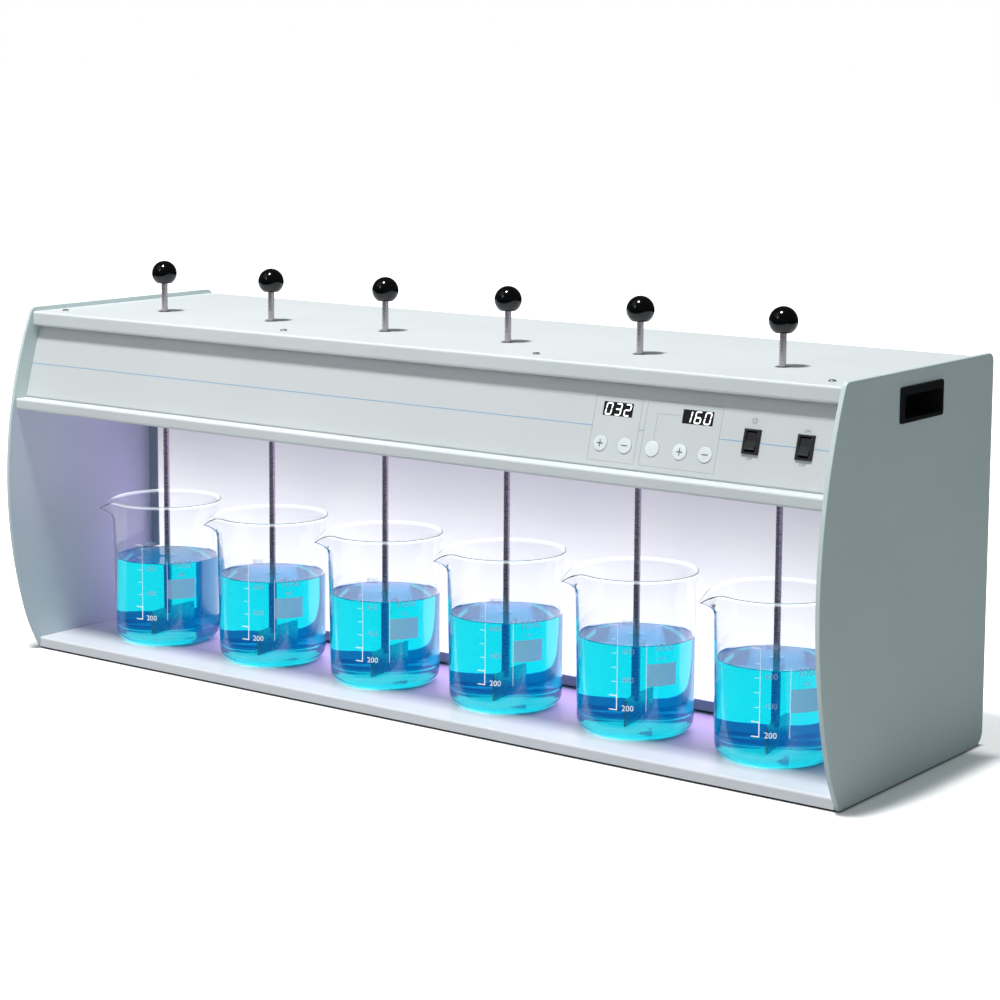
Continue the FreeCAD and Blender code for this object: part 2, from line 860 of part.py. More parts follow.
def spindle(x):
    """A hollow spindle: gear and hub, bushed sleeve, fluted chuck, and the collet in the cover's hole."""
    hub_bottom = floor_top + bush_flange + axial_gap
    chuck_bottom = upper_bush_base + axial_gap
    chuck_top = cover_under - chuck_cover_room
    profile = [
        (0, spindle_bottom),
        (spindle_radius - 1.0, spindle_bottom),
        (spindle_radius, spindle_bottom + 1.0),
        (spindle_radius, hub_bottom),
        (gear_hub_radius, hub_bottom),
        (gear_hub_radius, gear_hub_top),
        (spindle_radius, gear_hub_top),
        (spindle_radius, chuck_bottom),
        (chuck_radius, chuck_bottom),
        (chuck_radius, chuck_top - chuck_bevel),
        (chuck_radius - chuck_bevel, chuck_top),
        (collet_radius, spindle_top - collet_length),
        (collet_radius, spindle_top),
        (0, spindle_top),
    ]
    gear = toothed_disc(stirrer_teeth, gear_bottom, gear_bottom + gear_width, spindle_phase)
    body = turned(profile, 0, 0).fuse(gear)
    flutes = []
    for k in range(chuck_flutes):
        angle = 2 * math.pi * k / chuck_flutes
        flutes.append(
            rod(
                (chuck_radius + 1) * math.cos(angle), (chuck_radius + 1) * math.sin(angle),
                chuck_bottom + 3, spindle_top, chuck_flute_radius,
            )
        )
    bore = rod(0, 0, spindle_bottom - 1, spindle_top + 1, rod_radius + running_gap)
    body = body.cut(flutes + [bore]).removeSplitter()
    body.translate(V(x, axis_y, 0))
    return body


def idler_gear(x):
    """A gear between two spindles, which meshes with both of theirs."""
    hub_bottom = floor_top + bush_flange + axial_gap
    gear = toothed_disc(stirrer_teeth, gear_bottom, gear_bottom + gear_width, idler_phase)
    gear = gear.fuse(rod(0, 0, hub_bottom, gear_hub_top, idler_hub_radius))
    gear = gear.cut(rod(0, 0, hub_bottom - 1, gear_hub_top + 1, idler_axle_radius + running_gap))
    gear = gear.removeSplitter()
    gear.translate(V(x, axis_y, 0))
    return gear


def idler_axles():
    """Fixed axles from the head's floor to the bridge, with a collar under each idler and a ring above it."""
    ring = gear_hub_top + axial_gap
    profile = [
        (0, floor_top),
        (idler_collar_radius, floor_top),
        (idler_collar_radius, floor_top + bush_flange),
        (idler_axle_radius, floor_top + bush_flange),
        (idler_axle_radius, ring),
        (idler_collar_radius, ring),
        (idler_collar_radius, ring + idler_ring_height),
        (idler_axle_radius, ring + idler_ring_height),
        (idler_axle_radius, bridge_top - bridge_sheet),
        (0, bridge_top - bridge_sheet),
    ]
    return group([turned(profile, x, axis_y) for x in idler_xs])


def motor_pinion():
    """The motor's shaft with the pinion on it, which meshes with the middle idler from behind."""
    shaft_bottom = floor_top + 1.0
    shaft_top = bridge_top + motor_shaft_depth
    pinion = toothed_disc(pinion_teeth, gear_bottom - 1, gear_bottom + gear_width + 1, pinion_phase)
    hub = rod(0, 0, gear_bottom + gear_width, gear_hub_top, idler_hub_radius)
    shaft = rod(0, 0, shaft_bottom, shaft_top, motor_shaft_radius)
    pinion = pinion.multiFuse([hub, shaft]).removeSplitter()
    pinion.translate(V(motor_x, motor_y, 0))
    return pinion


def drive_motor():
    """A flat motor on the bridge: square flange, finned can and the boss that centres it in the bridge."""
    flange_half = motor_flange / 2
    flange = rounded_block(
        -flange_half, flange_half, -flange_half, flange_half,
        bridge_top, bridge_top + motor_flange_thickness, motor_flange_corner, Z_AXIS,
    )
    can_bottom = bridge_top + motor_flange_thickness
    can_top = cover_under - motor_cover_room
    profile = [
        (0, can_bottom),
        (motor_radius, can_bottom),
        (motor_radius, can_top - 3),
        (motor_radius - 3, can_top),
        (0, can_top),
    ]
    can = turned(profile, 0, 0)
    for k in range(motor_fins):
        groove = can_bottom + 2 * motor_fin_width + k * (motor_fin_width + motor_fin_gap)
        ring = rod(0, 0, groove, groove + motor_fin_gap, motor_radius + 1)
        can = can.cut(ring.cut(rod(0, 0, groove, groove + motor_fin_gap, motor_radius - motor_fin_depth)))
    boss_bottom = bridge_top - bridge_sheet
    boss = rod(0, 0, boss_bottom, bridge_top, motor_boss_radius)
    shaft_hole = rod(
        0, 0, boss_bottom - 1, bridge_top + motor_shaft_depth + axial_gap, motor_shaft_radius + running_gap
    )
    motor = flange.multiFuse([can, boss]).removeSplitter().cut(shaft_hole)
    motor.translate(V(motor_x, motor_y, 0))
    return motor


def bearing_bridge():
    """A hat-shaped bridge over the gear train, which holds the upper bushes and the motor."""
    front = axis_y - gear_tip_radius - bridge_front_room
    back = motor_y + pinion_pitch_radius + gear_module + bridge_back_room
    half = station_xs[-1] + bridge_end_room
    bridge = folded_sheet(
        [
            (front - bridge_foot, floor_top + bridge_sheet),
            (front, floor_top + bridge_sheet),
            (front, bridge_top),
            (back, bridge_top),
            (back, floor_top + bridge_sheet),
            (back + bridge_foot, floor_top + bridge_sheet),
        ],
        bridge_sheet, half, radius=bridge_sheet + 0.4,
    )
    top = (bridge_top - bridge_sheet - 1, bridge_top + 1)
    holes = [rod(x, axis_y, top[0], top[1], bush_radius) for x in station_xs]
    holes.append(rod(motor_x, motor_y, top[0], top[1], motor_boss_radius))
    return bridge.cut(holes)


def spindle_bushes():
    """Flanged bushes: one in the head's floor and one in the bridge on each stirring axis."""

    def bush(base, under):
        tail = under - bush_tail
        bore = spindle_radius + running_gap
        return [
            (bore, tail),
            (bush_radius, tail),
            (bush_radius, base),
            (bush_flange_radius, base),
            (bush_flange_radius, base + bush_flange),
            (bore, base + bush_flange),
        ]

    lower = bush(floor_top, head_floor)
    upper = bush(bridge_top, bridge_top - bridge_sheet)
    return group([turned(profile, x, axis_y) for profile in (lower, upper) for x in station_xs])


# ---------------------------------------------------------------- rods, knobs and jars


def stirring_rod(x):
    """A steel rod with a flat blade welded into a slot at its foot."""
    shaft = rod(0, 0, rod_bottom, rod_top, rod_radius)
    blade = block(
        -blade_width / 2, blade_width / 2, -blade_thickness / 2, blade_thickness / 2,
        blade_bottom, blade_bottom + blade_height,
    )
    blade.rotate(V(0, 0, 0), Z_AXIS, blade_angle)
    stirrer = shaft.fuse(blade).removeSplitter()
    stirrer.translate(V(x, axis_y, 0))
    return stirrer


def ball_knob(x):
    """A ball knob with a flat underside and a blind hole for the rod."""
    centre = V(x, axis_y, knob_centre_z)
    ball = Part.makeSphere(knob_radius, centre)
    below = rod(x, axis_y, knob_centre_z - knob_radius - 1, knob_flat_z, knob_radius)
    hole = rod(x, axis_y, knob_centre_z - knob_radius - 1, rod_top, rod_radius)
    return ball.cut([below, hole])


def jar_body(radius, floor_z, corner, top_z):
    """The round part of a jar's outer or inner form, up to where the spout starts."""
    points = [V(0, 0, floor_z), V(radius - corner, 0, floor_z)]
    bottom = Part.makeLine(points[0], points[1])
    bend = Part.Arc(
        points[1],
        V(radius - corner * (1 - math.sin(math.pi / 4)), 0, floor_z + corner * (1 - math.cos(math.pi / 4))),
        V(radius, 0, floor_z + corner),
    ).toShape()
    wall = Part.makeLine(V(radius, 0, floor_z + corner), V(radius, 0, top_z))
    lid = Part.makeLine(V(radius, 0, top_z), V(0, 0, top_z))
    axis = Part.makeLine(V(0, 0, top_z), V(0, 0, floor_z))
    return Part.Face(Part.Wire([bottom, bend, wall, lid, axis])).revolve(V(0, 0, 0), Z_AXIS, 360)


def spouted_section(radius, reach, z):
    """A circle with a tongue: the circle and a small tip circle joined by their outer tangents."""
    tip_centre = reach - spout_tip_radius
    contact = math.acos((radius - spout_tip_radius) / tip_centre)
    cos, sin = math.cos(contact), math.sin(contact)
    right = V(radius * cos, -radius * sin, z)
    left = V(radius * cos, radius * sin, z)
    tip_right = V(tip_centre + spout_tip_radius * cos, -spout_tip_radius * sin, z)
    tip_left = V(tip_centre + spout_tip_radius * cos, spout_tip_radius * sin, z)
    round_back = Part.Arc(left, V(-radius, 0, z), right).toShape()
    round_tip = Part.Arc(tip_right, V(reach, 0, z), tip_left).toShape()
    sides = [Part.makeLine(right, tip_right), Part.makeLine(tip_left, left)]
    return Part.Wire([round_back, sides[0], round_tip, sides[1]])


def jar_neck(inset, top_z):
    """The flared top with the spout, outside for no inset and inside for the wall's thickness."""
    root_reach = jar_radius + 0.4
    tip_share = 1 - spout_drop / spout_height
    full_reach = root_reach + (spout_reach - root_reach) / tip_share**spout_curl
    sections = []
    for share in (0.0, 0.35, 0.7, 1.0):
        flare = max(0.0, 1 - (1 - share) * spout_height / jar_flare_height)
        radius = jar_radius + (jar_rim_radius - jar_radius) * flare**2 - inset
        reach = root_reach + (full_reach - root_reach) * share**spout_curl - inset
        sections.append(spouted_section(radius, reach, top_z - (1 - share) * spout_height))
    return Part.makeLoft(sections, True, False)


def jar(x):
    """A glass beaker: rounded foot with a shallow punt, thin wall, flared rim and a dipping spout."""
    top = jar_height
    base = top - spout_height
    outer = jar_body(jar_radius, 0, jar_corner, base).fuse(jar_neck(0, top))
    inner = jar_body(jar_radius - jar_wall, jar_floor, jar_corner - jar_wall, base)
    inner = inner.fuse(jar_neck(jar_wall, top))
    run = spout_reach - spout_dip_start
    dip_radius = (run**2 + spout_drop**2) / 2 / spout_drop
    dip_room = block(spout_dip_start, 2 * spout_reach, -jar_radius, jar_radius, base, top + 1)
    dip_form = Part.makeCylinder(
        dip_radius, 2 * jar_radius + 2, V(spout_dip_start, -jar_radius - 1, top - dip_radius), Y_AXIS
    )
    punt = Part.makeCone(jar_punt_radius, jar_punt_radius - 4 * jar_punt_rise, jar_punt_rise)
    glass = outer.cut(inner).cut(dip_room.cut(dip_form)).cut(punt)
    glass.rotate(V(0, 0, 0), Z_AXIS, spout_angle)
    glass.translate(V(x, axis_y, shelf_top))
    return glass


# ---------------------------------------------------------------- all sub-parts


def numbered(name, maker, places):
    return {f"{name}_{k + 1}": maker(place) for k, place in enumerate(places)}


def all_parts():
    panel = side_panel()
    handle = carry_handle()
    parts = {
        "side_panel_right": panel,
        "side_panel_left": mirrored(panel),
        "carry_handles": group([handle, mirrored(handle)]),
        "base_shelf": base_shelf(),
        "rubber_feet": rubber_feet(),
        "head_tray": head_tray(),
        "top_cover": top_cover(),
        "cover_screws": cover_screws(),
        "rear_cover": rear_cover(),
        "mains_inlet": mains_inlet(),
        "diffuser_frame": diffuser_frame(),
        "light_diffuser": light_diffuser(),
        "lamp_tray": lamp_tray(),
        "lamp_holders": lamp_holders(),
        "lamp_tubes": lamp_tubes(),
        "fascia_panel": fascia_panel(),
        "control_board": control_board(),
        "display_modules": display_modules(),
        "switch_bodies": switch_bodies(),
        "bearing_bridge": bearing_bridge(),
        "spindle_bushes": spindle_bushes(),
        "idler_axles": idler_axles(),
        "drive_motor": drive_motor(),
        "motor_pinion": motor_pinion(),
    }
    for k, (x, up) in enumerate(key_places()):
        parts[f"key_{k + 1}"] = key(x, up)
    lamp_x, power_x = switch_xs()
    parts["rocker_lamp"] = rocker(lamp_x)
    parts["rocker_power"] = rocker(power_x)
    parts.update(numbered("spindle", spindle, station_xs))
    parts.update(numbered("idler_gear", idler_gear, idler_xs))
    parts.update(numbered("stirring_rod", stirring_rod, station_xs))
    parts.update(numbered("ball_knob", ball_knob, station_xs))
    parts.update(numbered("jar", jar, station_xs))
    return parts


os.makedirs("parts", exist_ok=True)
for name, shape in all_parts().items():
    shape.exportStep(f"parts/{name}.step")
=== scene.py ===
# %% [markdown]
# # A six-place jar tester
# The instrument stirs six glass jars at one speed in front of a lit wall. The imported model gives
# every solid its place. This lesson adds the finishes, the blown glass, the blue water, the
# printing, and the light. The model could be rebuilt from nothing here, but then the looks and the
# moving solids would drift apart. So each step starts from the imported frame, in metres, and never
# moves it.

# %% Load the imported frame
import json
import math

import bmesh
import bpy
from mathutils import Matrix, Vector


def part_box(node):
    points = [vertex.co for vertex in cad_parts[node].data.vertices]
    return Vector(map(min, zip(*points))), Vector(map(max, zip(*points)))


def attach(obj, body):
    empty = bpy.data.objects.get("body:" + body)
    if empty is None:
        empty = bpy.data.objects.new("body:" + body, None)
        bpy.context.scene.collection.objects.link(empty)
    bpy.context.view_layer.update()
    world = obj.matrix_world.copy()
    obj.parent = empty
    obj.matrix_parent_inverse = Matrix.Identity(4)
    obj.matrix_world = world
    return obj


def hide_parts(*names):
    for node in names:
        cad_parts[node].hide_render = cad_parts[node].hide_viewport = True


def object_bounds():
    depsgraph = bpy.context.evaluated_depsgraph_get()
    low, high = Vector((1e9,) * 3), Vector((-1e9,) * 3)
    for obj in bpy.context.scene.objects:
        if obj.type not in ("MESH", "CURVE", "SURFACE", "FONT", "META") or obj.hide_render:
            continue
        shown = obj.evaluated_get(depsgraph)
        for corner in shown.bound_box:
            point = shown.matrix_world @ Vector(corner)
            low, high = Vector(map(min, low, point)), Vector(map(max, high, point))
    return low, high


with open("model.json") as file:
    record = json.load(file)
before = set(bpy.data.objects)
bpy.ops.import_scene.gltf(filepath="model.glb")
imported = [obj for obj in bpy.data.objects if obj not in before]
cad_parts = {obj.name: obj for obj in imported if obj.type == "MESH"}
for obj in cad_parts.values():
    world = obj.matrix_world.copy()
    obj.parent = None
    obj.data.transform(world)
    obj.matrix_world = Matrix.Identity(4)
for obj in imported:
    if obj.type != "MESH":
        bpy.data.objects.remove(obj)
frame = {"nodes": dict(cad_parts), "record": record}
nodes = frame["nodes"]
node_slots = {part["node"]: part["material_slot"] for part in frame["record"]["subparts"]}
cad_low, cad_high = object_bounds()
mm = 0.001
stations = range(1, 7)
print("nodes", len(nodes), "size in mm", [round(side / mm, 1) for side in cad_high - cad_low])

# %% [markdown]
# ## The camera
# A product camera stands well back, so that the long case keeps calm lines, and looks down a
# little. A camera could be aimed at a target by a constraint. Three plain turns are steadier: the
# pitch and a slight roll about its own axes, then the heading about the upright. The lens is
# shifted rather than tilted up, which keeps the uprights of the case parallel.

# %% Camera
camera_place = Vector((1.4257, -1.8600, 0.6060))
camera_heading = math.radians(36.674)
camera_pitch = math.radians(-7.329)
camera_roll = math.radians(0.334)
camera_data = bpy.data.cameras.new("camera")
camera_data.sensor_width = 36
camera_data.lens = 90.59
camera_data.shift_y = -0.12
camera = bpy.data.objects.new("camera", camera_data)
camera_turn = (
    Matrix.Rotation(camera_heading, 4, "Z")
    @ Matrix.Rotation(math.radians(90) + camera_pitch, 4, "X")
    @ Matrix.Rotation(camera_roll, 4, "Z")
)
camera.matrix_world = Matrix.Translation(camera_place) @ camera_turn
bpy.context.scene.collection.objects.link(camera)
bpy.context.scene.camera = camera
bpy.context.scene.view_settings.view_transform = "Standard"
print("camera looks along", [round(c, 4) for c in -camera_turn.to_3x3().col[2]])

# %% [markdown]
# ## Lamps and world
# Most of the light comes from one softbox high over the bench, a little in front of the case. It is
# aimed left of the middle, so the right-hand end is a shade darker. Many equal lamps would give
# many shadows. One high lamp gives a single narrow shadow beside the case and leaves the case's
# right-hand side in shade, which shows its shape. A weak, wide lamp from the left opens the fronts,
# and a small one puts a glint on the knobs. The world is white only to the eye, so the background
# is bright while the light on the paint stays at a plain level. To gloss and glass it is nearly
# dark, as a studio is in front of the set: black knobs stay black, and the water keeps its colour.

# %% Light and surroundings


def area_lamp(name, place, target, size, power, spread=math.pi):
    lamp = bpy.data.lights.new(name, "AREA")
    lamp.shape = "RECTANGLE"
    lamp.size, lamp.size_y = size
    lamp.energy = power
    lamp.spread = spread
    lamp_object = bpy.data.objects.new(name, lamp)
    lamp_object.location = place
    aim = Vector(target) - Vector(place)
    lamp_object.rotation_euler = aim.to_track_quat("-Z", "Y").to_euler()
    bpy.context.scene.collection.objects.link(lamp_object)


case_middle = (cad_low + cad_high) / 2
left_of_middle = case_middle - Vector((300 * mm, 0, 0))
area_lamp(
    "overhead", (-0.08, -1.28, 4.4), left_of_middle, size=(0.5, 0.6), power=87, spread=math.radians(120)
)
area_lamp("fill", (-2.1, -2.3, 3.2), case_middle, size=(2.4, 2.4), power=6)
area_lamp("knob_glint", (-0.6, -2.4, 1.7), case_middle, size=(0.5, 0.9), power=4)


def feed(links, socket, value):
    """Gives a socket a number, a colour or another node's output."""
    if isinstance(value, bpy.types.NodeSocket):
        links.new(value, socket)
    else:
        socket.default_value = value


def calculate(node_set, links, operation, first, second=None):
    """One step of arithmetic between numbers or outputs."""
    step = node_set.new("ShaderNodeMath")
    step.operation = operation
    for socket, value in zip(step.inputs, (first, second)):
        if value is not None:
            feed(links, socket, value)
    return step.outputs[0]


def mix_colours(node_set, links, factor, first, second):
    """The first colour where the factor is nought, the second where it is one."""
    mix = node_set.new("ShaderNodeMix")
    mix.data_type = "RGBA"
    for name, value in (("Factor", factor), ("A", first), ("B", second)):
        feed(links, mix.inputs[name], value)
    return mix.outputs["Result"]


def any_of(node_set, links, light_path, names):
    """One if the ray is of any of the named kinds, otherwise nought."""
    total = light_path.outputs[names[0]]
    for name in names[1:]:
        total = calculate(node_set, links, "MAXIMUM", total, light_path.outputs[name])
    return total


def colour_by_ray(node_set, links, plain, cases):
    """The plain colour for light on paint, and another for the rays of each case in turn."""
    light_path = node_set.new("ShaderNodeLightPath")
    colour = plain
    for names, other in cases:
        is_case = any_of(node_set, links, light_path, names)
        colour = mix_colours(node_set, links, is_case, colour, other)
    return colour


mirror_rays = ("Is Glossy Ray", "Is Singular Ray")
through_rays = ("Is Transmission Ray",)
eye_rays = ("Is Camera Ray",)


def grey(level):
    return (level, level, level, 1)


cool_white = (0.88, 1.0, 1.04)


def build_world(level, mirror_level, through_level):
    """Surroundings that are white to the eye, pale to paint and nearly dark to gloss and glass."""
    world = bpy.data.worlds.new("surroundings")
    world.use_nodes = True
    tree = world.node_tree
    plain = tuple(level * share for share in cool_white) + (1,)
    cases = [
        (mirror_rays, grey(mirror_level)),
        (through_rays, grey(through_level)),
        (eye_rays, grey(1.0)),
    ]
    colour = colour_by_ray(tree.nodes, tree.links, plain, cases)
    tree.links.new(colour, tree.nodes["Background"].inputs["Color"])
    return world


bpy.context.scene.world = build_world(level=0.285, mirror_level=0.06, through_level=0.15)

# %% [markdown]
# ## The floor
# The bench is a plain pale floor. A studio sweep would hide the case from behind, so a flat sheet
# is used. Its paint is nearly white, and a glow seen only by the eye lifts it to white. Under the
# case the glow is nothing, and the eye sees the paint darkened there: painted shade that keeps the
# gap below the shelf dark. Beside the case the glow is faint in a narrow band, so the shadow stays.
# Then it grows with the distance, until the far floor meets the white surroundings unseen.

# %% Floor


def node_material(name):
    """A new material with its nodes, links and Principled shader."""
    material = bpy.data.materials.new(name)
    material.use_nodes = True
    tree = material.node_tree
    return material, tree.nodes, tree.links, tree.nodes["Principled BSDF"]


def linear(red, green, blue):
    """A screen colour, 0 to 255, as the linear colour that shaders take."""

    def one(value):
        share = value / 255
        return share / 12.92 if share <= 0.04045 else ((share + 0.055) / 1.055) ** 2.4

    return one(red), one(green), one(blue), 1.0


def map_range(node_set, links, value, start, end, low, high, kind="LINEAR"):
    """From low to high while the value goes from start to end."""
    node = node_set.new("ShaderNodeMapRange")
    node.interpolation_type = kind
    limits = {"From Min": start, "From Max": end, "To Min": low, "To Max": high, "Value": value}
    for name, limit in limits.items():
        feed(links, node.inputs[name], limit)
    return node.outputs["Result"]


def ramp(node_set, links, value, start, end, low, high):
    """The same, with a smooth start and end."""
    return map_range(node_set, links, value, start, end, low, high, "SMOOTHSTEP")


def object_coordinates(node_set):
    return node_set.new("ShaderNodeTexCoord").outputs["Object"]


def place_parts(node_set, links):
    """A point's X, Y and Z."""
    parts = node_set.new("ShaderNodeSeparateXYZ")
    links.new(object_coordinates(node_set), parts.inputs["Vector"])
    return parts.outputs


def distance_outside(node_set, links, parts, reach_x, front, back):
    """How far a point of the floor lies outside a rectangle."""
    from_middle = calculate(node_set, links, "ABSOLUTE", parts["X"])
    sideways = calculate(node_set, links, "SUBTRACT", from_middle, reach_x)
    forwards = calculate(node_set, links, "SUBTRACT", front, parts["Y"])
    backwards = calculate(node_set, links, "SUBTRACT", parts["Y"], back)
    along = calculate(node_set, links, "MAXIMUM", forwards, backwards)
    return calculate(node_set, links, "MAXIMUM", sideways, along)


shelf_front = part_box("base_shelf")[0].y
shadow_reach = 93 * mm
shadow_core, shadow_edge, white_floor = 14 * mm, 45 * mm, 600 * mm
near_glow, middle_glow, far_glow = 0.03, 0.5, 1.0
under_case, beside_case = -4 * mm, 2 * mm
painted_shade_floor, pale_floor, cast_floor, mirrored_floor = 0.25, 0.97, 0.52, 0.03


def floor_material():
    material, node_set, links, surface = node_material("pale_floor")
    parts = place_parts(node_set, links)
    from_case = distance_outside(node_set, links, parts, cad_high.x, shelf_front, cad_high.y)
    # Under the case the eye sees the floor's paint darkened: painted shade for the gap below the shelf.
    seen = ramp(node_set, links, from_case, under_case, beside_case, painted_shade_floor, pale_floor)
    cases = [(mirror_rays, grey(mirrored_floor)), (eye_rays, seen)]
    links.new(colour_by_ray(node_set, links, grey(cast_floor), cases), surface.inputs["Base Color"])
    surface.inputs["Roughness"].default_value = 0.8
    surface.inputs["Specular IOR Level"].default_value = 0.1
    from_core = distance_outside(node_set, links, parts, cad_high.x, -shadow_reach, shadow_reach)
    near = ramp(node_set, links, from_core, shadow_core, shadow_edge, near_glow, middle_glow)
    far = ramp(node_set, links, from_core, shadow_edge, white_floor, 0.0, far_glow - middle_glow)
    not_under = ramp(node_set, links, from_case, under_case, beside_case, 0.0, 1.0)
    both = calculate(node_set, links, "ADD", near, far)
    glow = calculate(node_set, links, "MULTIPLY", both, not_under)
    to_eye = any_of(node_set, links, node_set.new("ShaderNodeLightPath"), eye_rays)
    surface.inputs["Emission Color"].default_value = grey(1.0)
    seen_glow = calculate(node_set, links, "MULTIPLY", glow, to_eye)
    links.new(seen_glow, surface.inputs["Emission Strength"])
    return material


def place_mesh(bm, name, material):
    """The finished mesh of a bmesh as an object at the origin."""
    mesh = bpy.data.meshes.new(name)
    bm.to_mesh(mesh)
    bm.free()
    piece = bpy.data.objects.new(name, mesh)
    piece.data.materials.append(material)
    bpy.context.scene.collection.objects.link(piece)
    return piece


floor_reach = 30
floor_sheet = bmesh.new()
bmesh.ops.create_grid(floor_sheet, x_segments=2, y_segments=2, size=floor_reach)
floor = place_mesh(floor_sheet, "floor", floor_material())

# %% [markdown]
# ## Paint
# The sheet metal is powder coated. Powder melts into a skin with a fine orange peel, and the film
# is never quite even. A picture of a coat could be laid on, but it would stretch over the folds.
# Two noises in object coordinates have no seams: a fine one lifts the skin, and a broad one shifts
# the colour by a hair.

# %% Powder coat


def noise(node_set, links, coordinates, scale, detail=2.0):
    texture = node_set.new("ShaderNodeTexNoise")
    texture.inputs["Scale"].default_value = scale
    texture.inputs["Detail"].default_value = detail
    links.new(coordinates, texture.inputs["Vector"])
    return texture.outputs["Fac"]


def spread(node_set, links, factor, low, high):
    """Turns the middle of a noise, where nearly all of it lies, into the range low to high."""
    return map_range(node_set, links, factor, 0.3, 0.7, low, high)


def bump(node_set, links, height, distance, surface):
    relief = node_set.new("ShaderNodeBump")
    relief.inputs["Distance"].default_value = distance
    links.new(height, relief.inputs["Height"])
    links.new(relief.outputs["Normal"], surface.inputs["Normal"])


def scaled_colour(colour, share):
    return tuple(min(1.0, c * share) for c in colour[:3]) + (1.0,)


def drifting_colour(node_set, links, colour, factor, low, high):
    """A colour between low and high times itself, as the factor goes from nought to one."""
    first, second = scaled_colour(colour, low), scaled_colour(colour, high)
    return mix_colours(node_set, links, factor, first, second)


def rough_by(node_set, links, factor, surface, low, high):
    """Lets a noise carry the roughness from low to high."""
    links.new(spread(node_set, links, factor, low, high), surface.inputs["Roughness"])


def powder_coat(name, colour, roughness=0.42, peel=0.012 * mm, peel_scale=900):
    material, node_set, links, surface = node_material(name)
    place = object_coordinates(node_set)
    broad = spread(node_set, links, noise(node_set, links, place, scale=7), 0, 1)
    tint = drifting_colour(node_set, links, colour, broad, 0.975, 1.015)
    links.new(tint, surface.inputs["Base Color"])
    skin = noise(node_set, links, place, peel_scale, detail=3)
    rough_by(node_set, links, skin, surface, roughness - 0.05, roughness + 0.06)
    bump(node_set, links, skin, peel, surface)
    surface.inputs["Specular IOR Level"].default_value = 0.4
    return material


# %% [markdown]
# ## The shelf under the jars
# Water gathers light on the shelf under each jar. Such gathered light could be traced, at many
# times the cost. Here the shelf's paint turns blue and glows in a round pool under each jar, to
# rays that have come out of glass and to no others, so it shows only through the jars' floors. The
# pools repeat with the stations: a folded distance along the row gives how far a point is from the
# nearest one.

# %% Gathered light
station_pitch = 144 * mm
row_y = -30.5 * mm
pool_radius = 51.5 * mm
pool_edge = 3 * mm
pool_blue = (0.0, 0.82, 1.0, 1)


def pools_of_light(material, strength):
    """Adds the pools to a paint."""
    tree = material.node_tree
    node_set, links, surface = tree.nodes, tree.links, tree.nodes["Principled BSDF"]
    parts = place_parts(node_set, links)
    folded = calculate(node_set, links, "PINGPONG", parts["X"], station_pitch / 2)
    along = calculate(node_set, links, "SUBTRACT", station_pitch / 2, folded)
    across = calculate(node_set, links, "SUBTRACT", parts["Y"], row_y)
    squares = [calculate(node_set, links, "MULTIPLY", side, side) for side in (along, across)]
    from_axis = calculate(node_set, links, "SQRT", calculate(node_set, links, "ADD", *squares))
    pool = ramp(node_set, links, from_axis, pool_radius - pool_edge, pool_radius, 1.0, 0.0)
    through_glass = any_of(node_set, links, node_set.new("ShaderNodeLightPath"), through_rays)
    glow = calculate(node_set, links, "MULTIPLY", pool, through_glass)
    paint = surface.inputs["Base Color"].links[0].from_socket
    links.new(mix_colours(node_set, links, glow, paint, pool_blue), surface.inputs["Base Color"])
    surface.inputs["Emission Color"].default_value = pool_blue
    pool_glow = calculate(node_set, links, "MULTIPLY", glow, strength)
    links.new(pool_glow, surface.inputs["Emission Strength"])
    return material


# %% [markdown]
# ## Metal
# The rods are ground steel, the bridge is zinc plated and the bushes are sintered bronze. All three
# are the same shader with other grain: ground rods have fine rings across their length, which
# scatter some of the light as paint does, plate has soft spangle, and sintered bronze is speckled
# with pores.

# %% Metals


def stretched(node_set, links, coordinates, scale):
    """Coordinates stretched along some axes, so that a noise turns into lines."""
    mapping = node_set.new("ShaderNodeMapping")
    mapping.inputs["Scale"].default_value = scale
    links.new(coordinates, mapping.inputs["Vector"])
    return mapping.outputs["Vector"]


def metal(
    name, colour, roughness, grain=(1, 1, 1), grain_scale=400, relief=0.004 * mm, mirror_share=1.0
):
    material, node_set, links, surface = node_material(name)
    surface.inputs["Metallic"].default_value = mirror_share
    place = stretched(node_set, links, object_coordinates(node_set), grain)
    texture = noise(node_set, links, place, grain_scale, detail=4)
    shade = spread(node_set, links, texture, 0, 1)
    tint = drifting_colour(node_set, links, colour, shade, 0.86, 1.0)
    links.new(tint, surface.inputs["Base Color"])
    rough_by(node_set, links, texture, surface, roughness * 0.8, roughness * 1.3)
    bump(node_set, links, texture, relief, surface)
    return material


# %% [markdown]
# ## Mouldings
# Handles, switch frames and gears are moulded. A spark-eroded mould leaves a fine matt grain, a
# polished mould leaves gloss, and rubber is duller than both. One function covers them with its
# grain and gloss.

# %% Mouldings


def moulding(name, colour, roughness, grain=0.01 * mm, grain_scale=1400, coat=0.0):
    material, node_set, links, surface = node_material(name)
    place = object_coordinates(node_set)
    fine = noise(node_set, links, place, grain_scale)
    broad = spread(node_set, links, noise(node_set, links, place, scale=30), 0, 1)
    tint = drifting_colour(node_set, links, colour, broad, 0.93, 1.05)
    links.new(tint, surface.inputs["Base Color"])
    rough_by(node_set, links, fine, surface, roughness * 0.85, roughness * 1.15)
    bump(node_set, links, fine, grain, surface)
    surface.inputs["Coat Weight"].default_value = coat
    surface.inputs["Coat Roughness"].default_value = 0.04
    return material


# %% [markdown]
# ## The light wall
# Behind the jars stands a sheet of opal acrylic with two tubes behind it. The sheet is brightest
# across the tubes and falls off towards the head. Lit tubes behind a real scattering sheet would
# need very many light paths, so the sheet glows itself, by a curve of its height. Such tubes look
# white beside daylight, but what they throw on the case is violet, so rays that light other things
# see a violet sheet. The tubes end short of the side panels, so this light fades towards the
# sheet's ends.

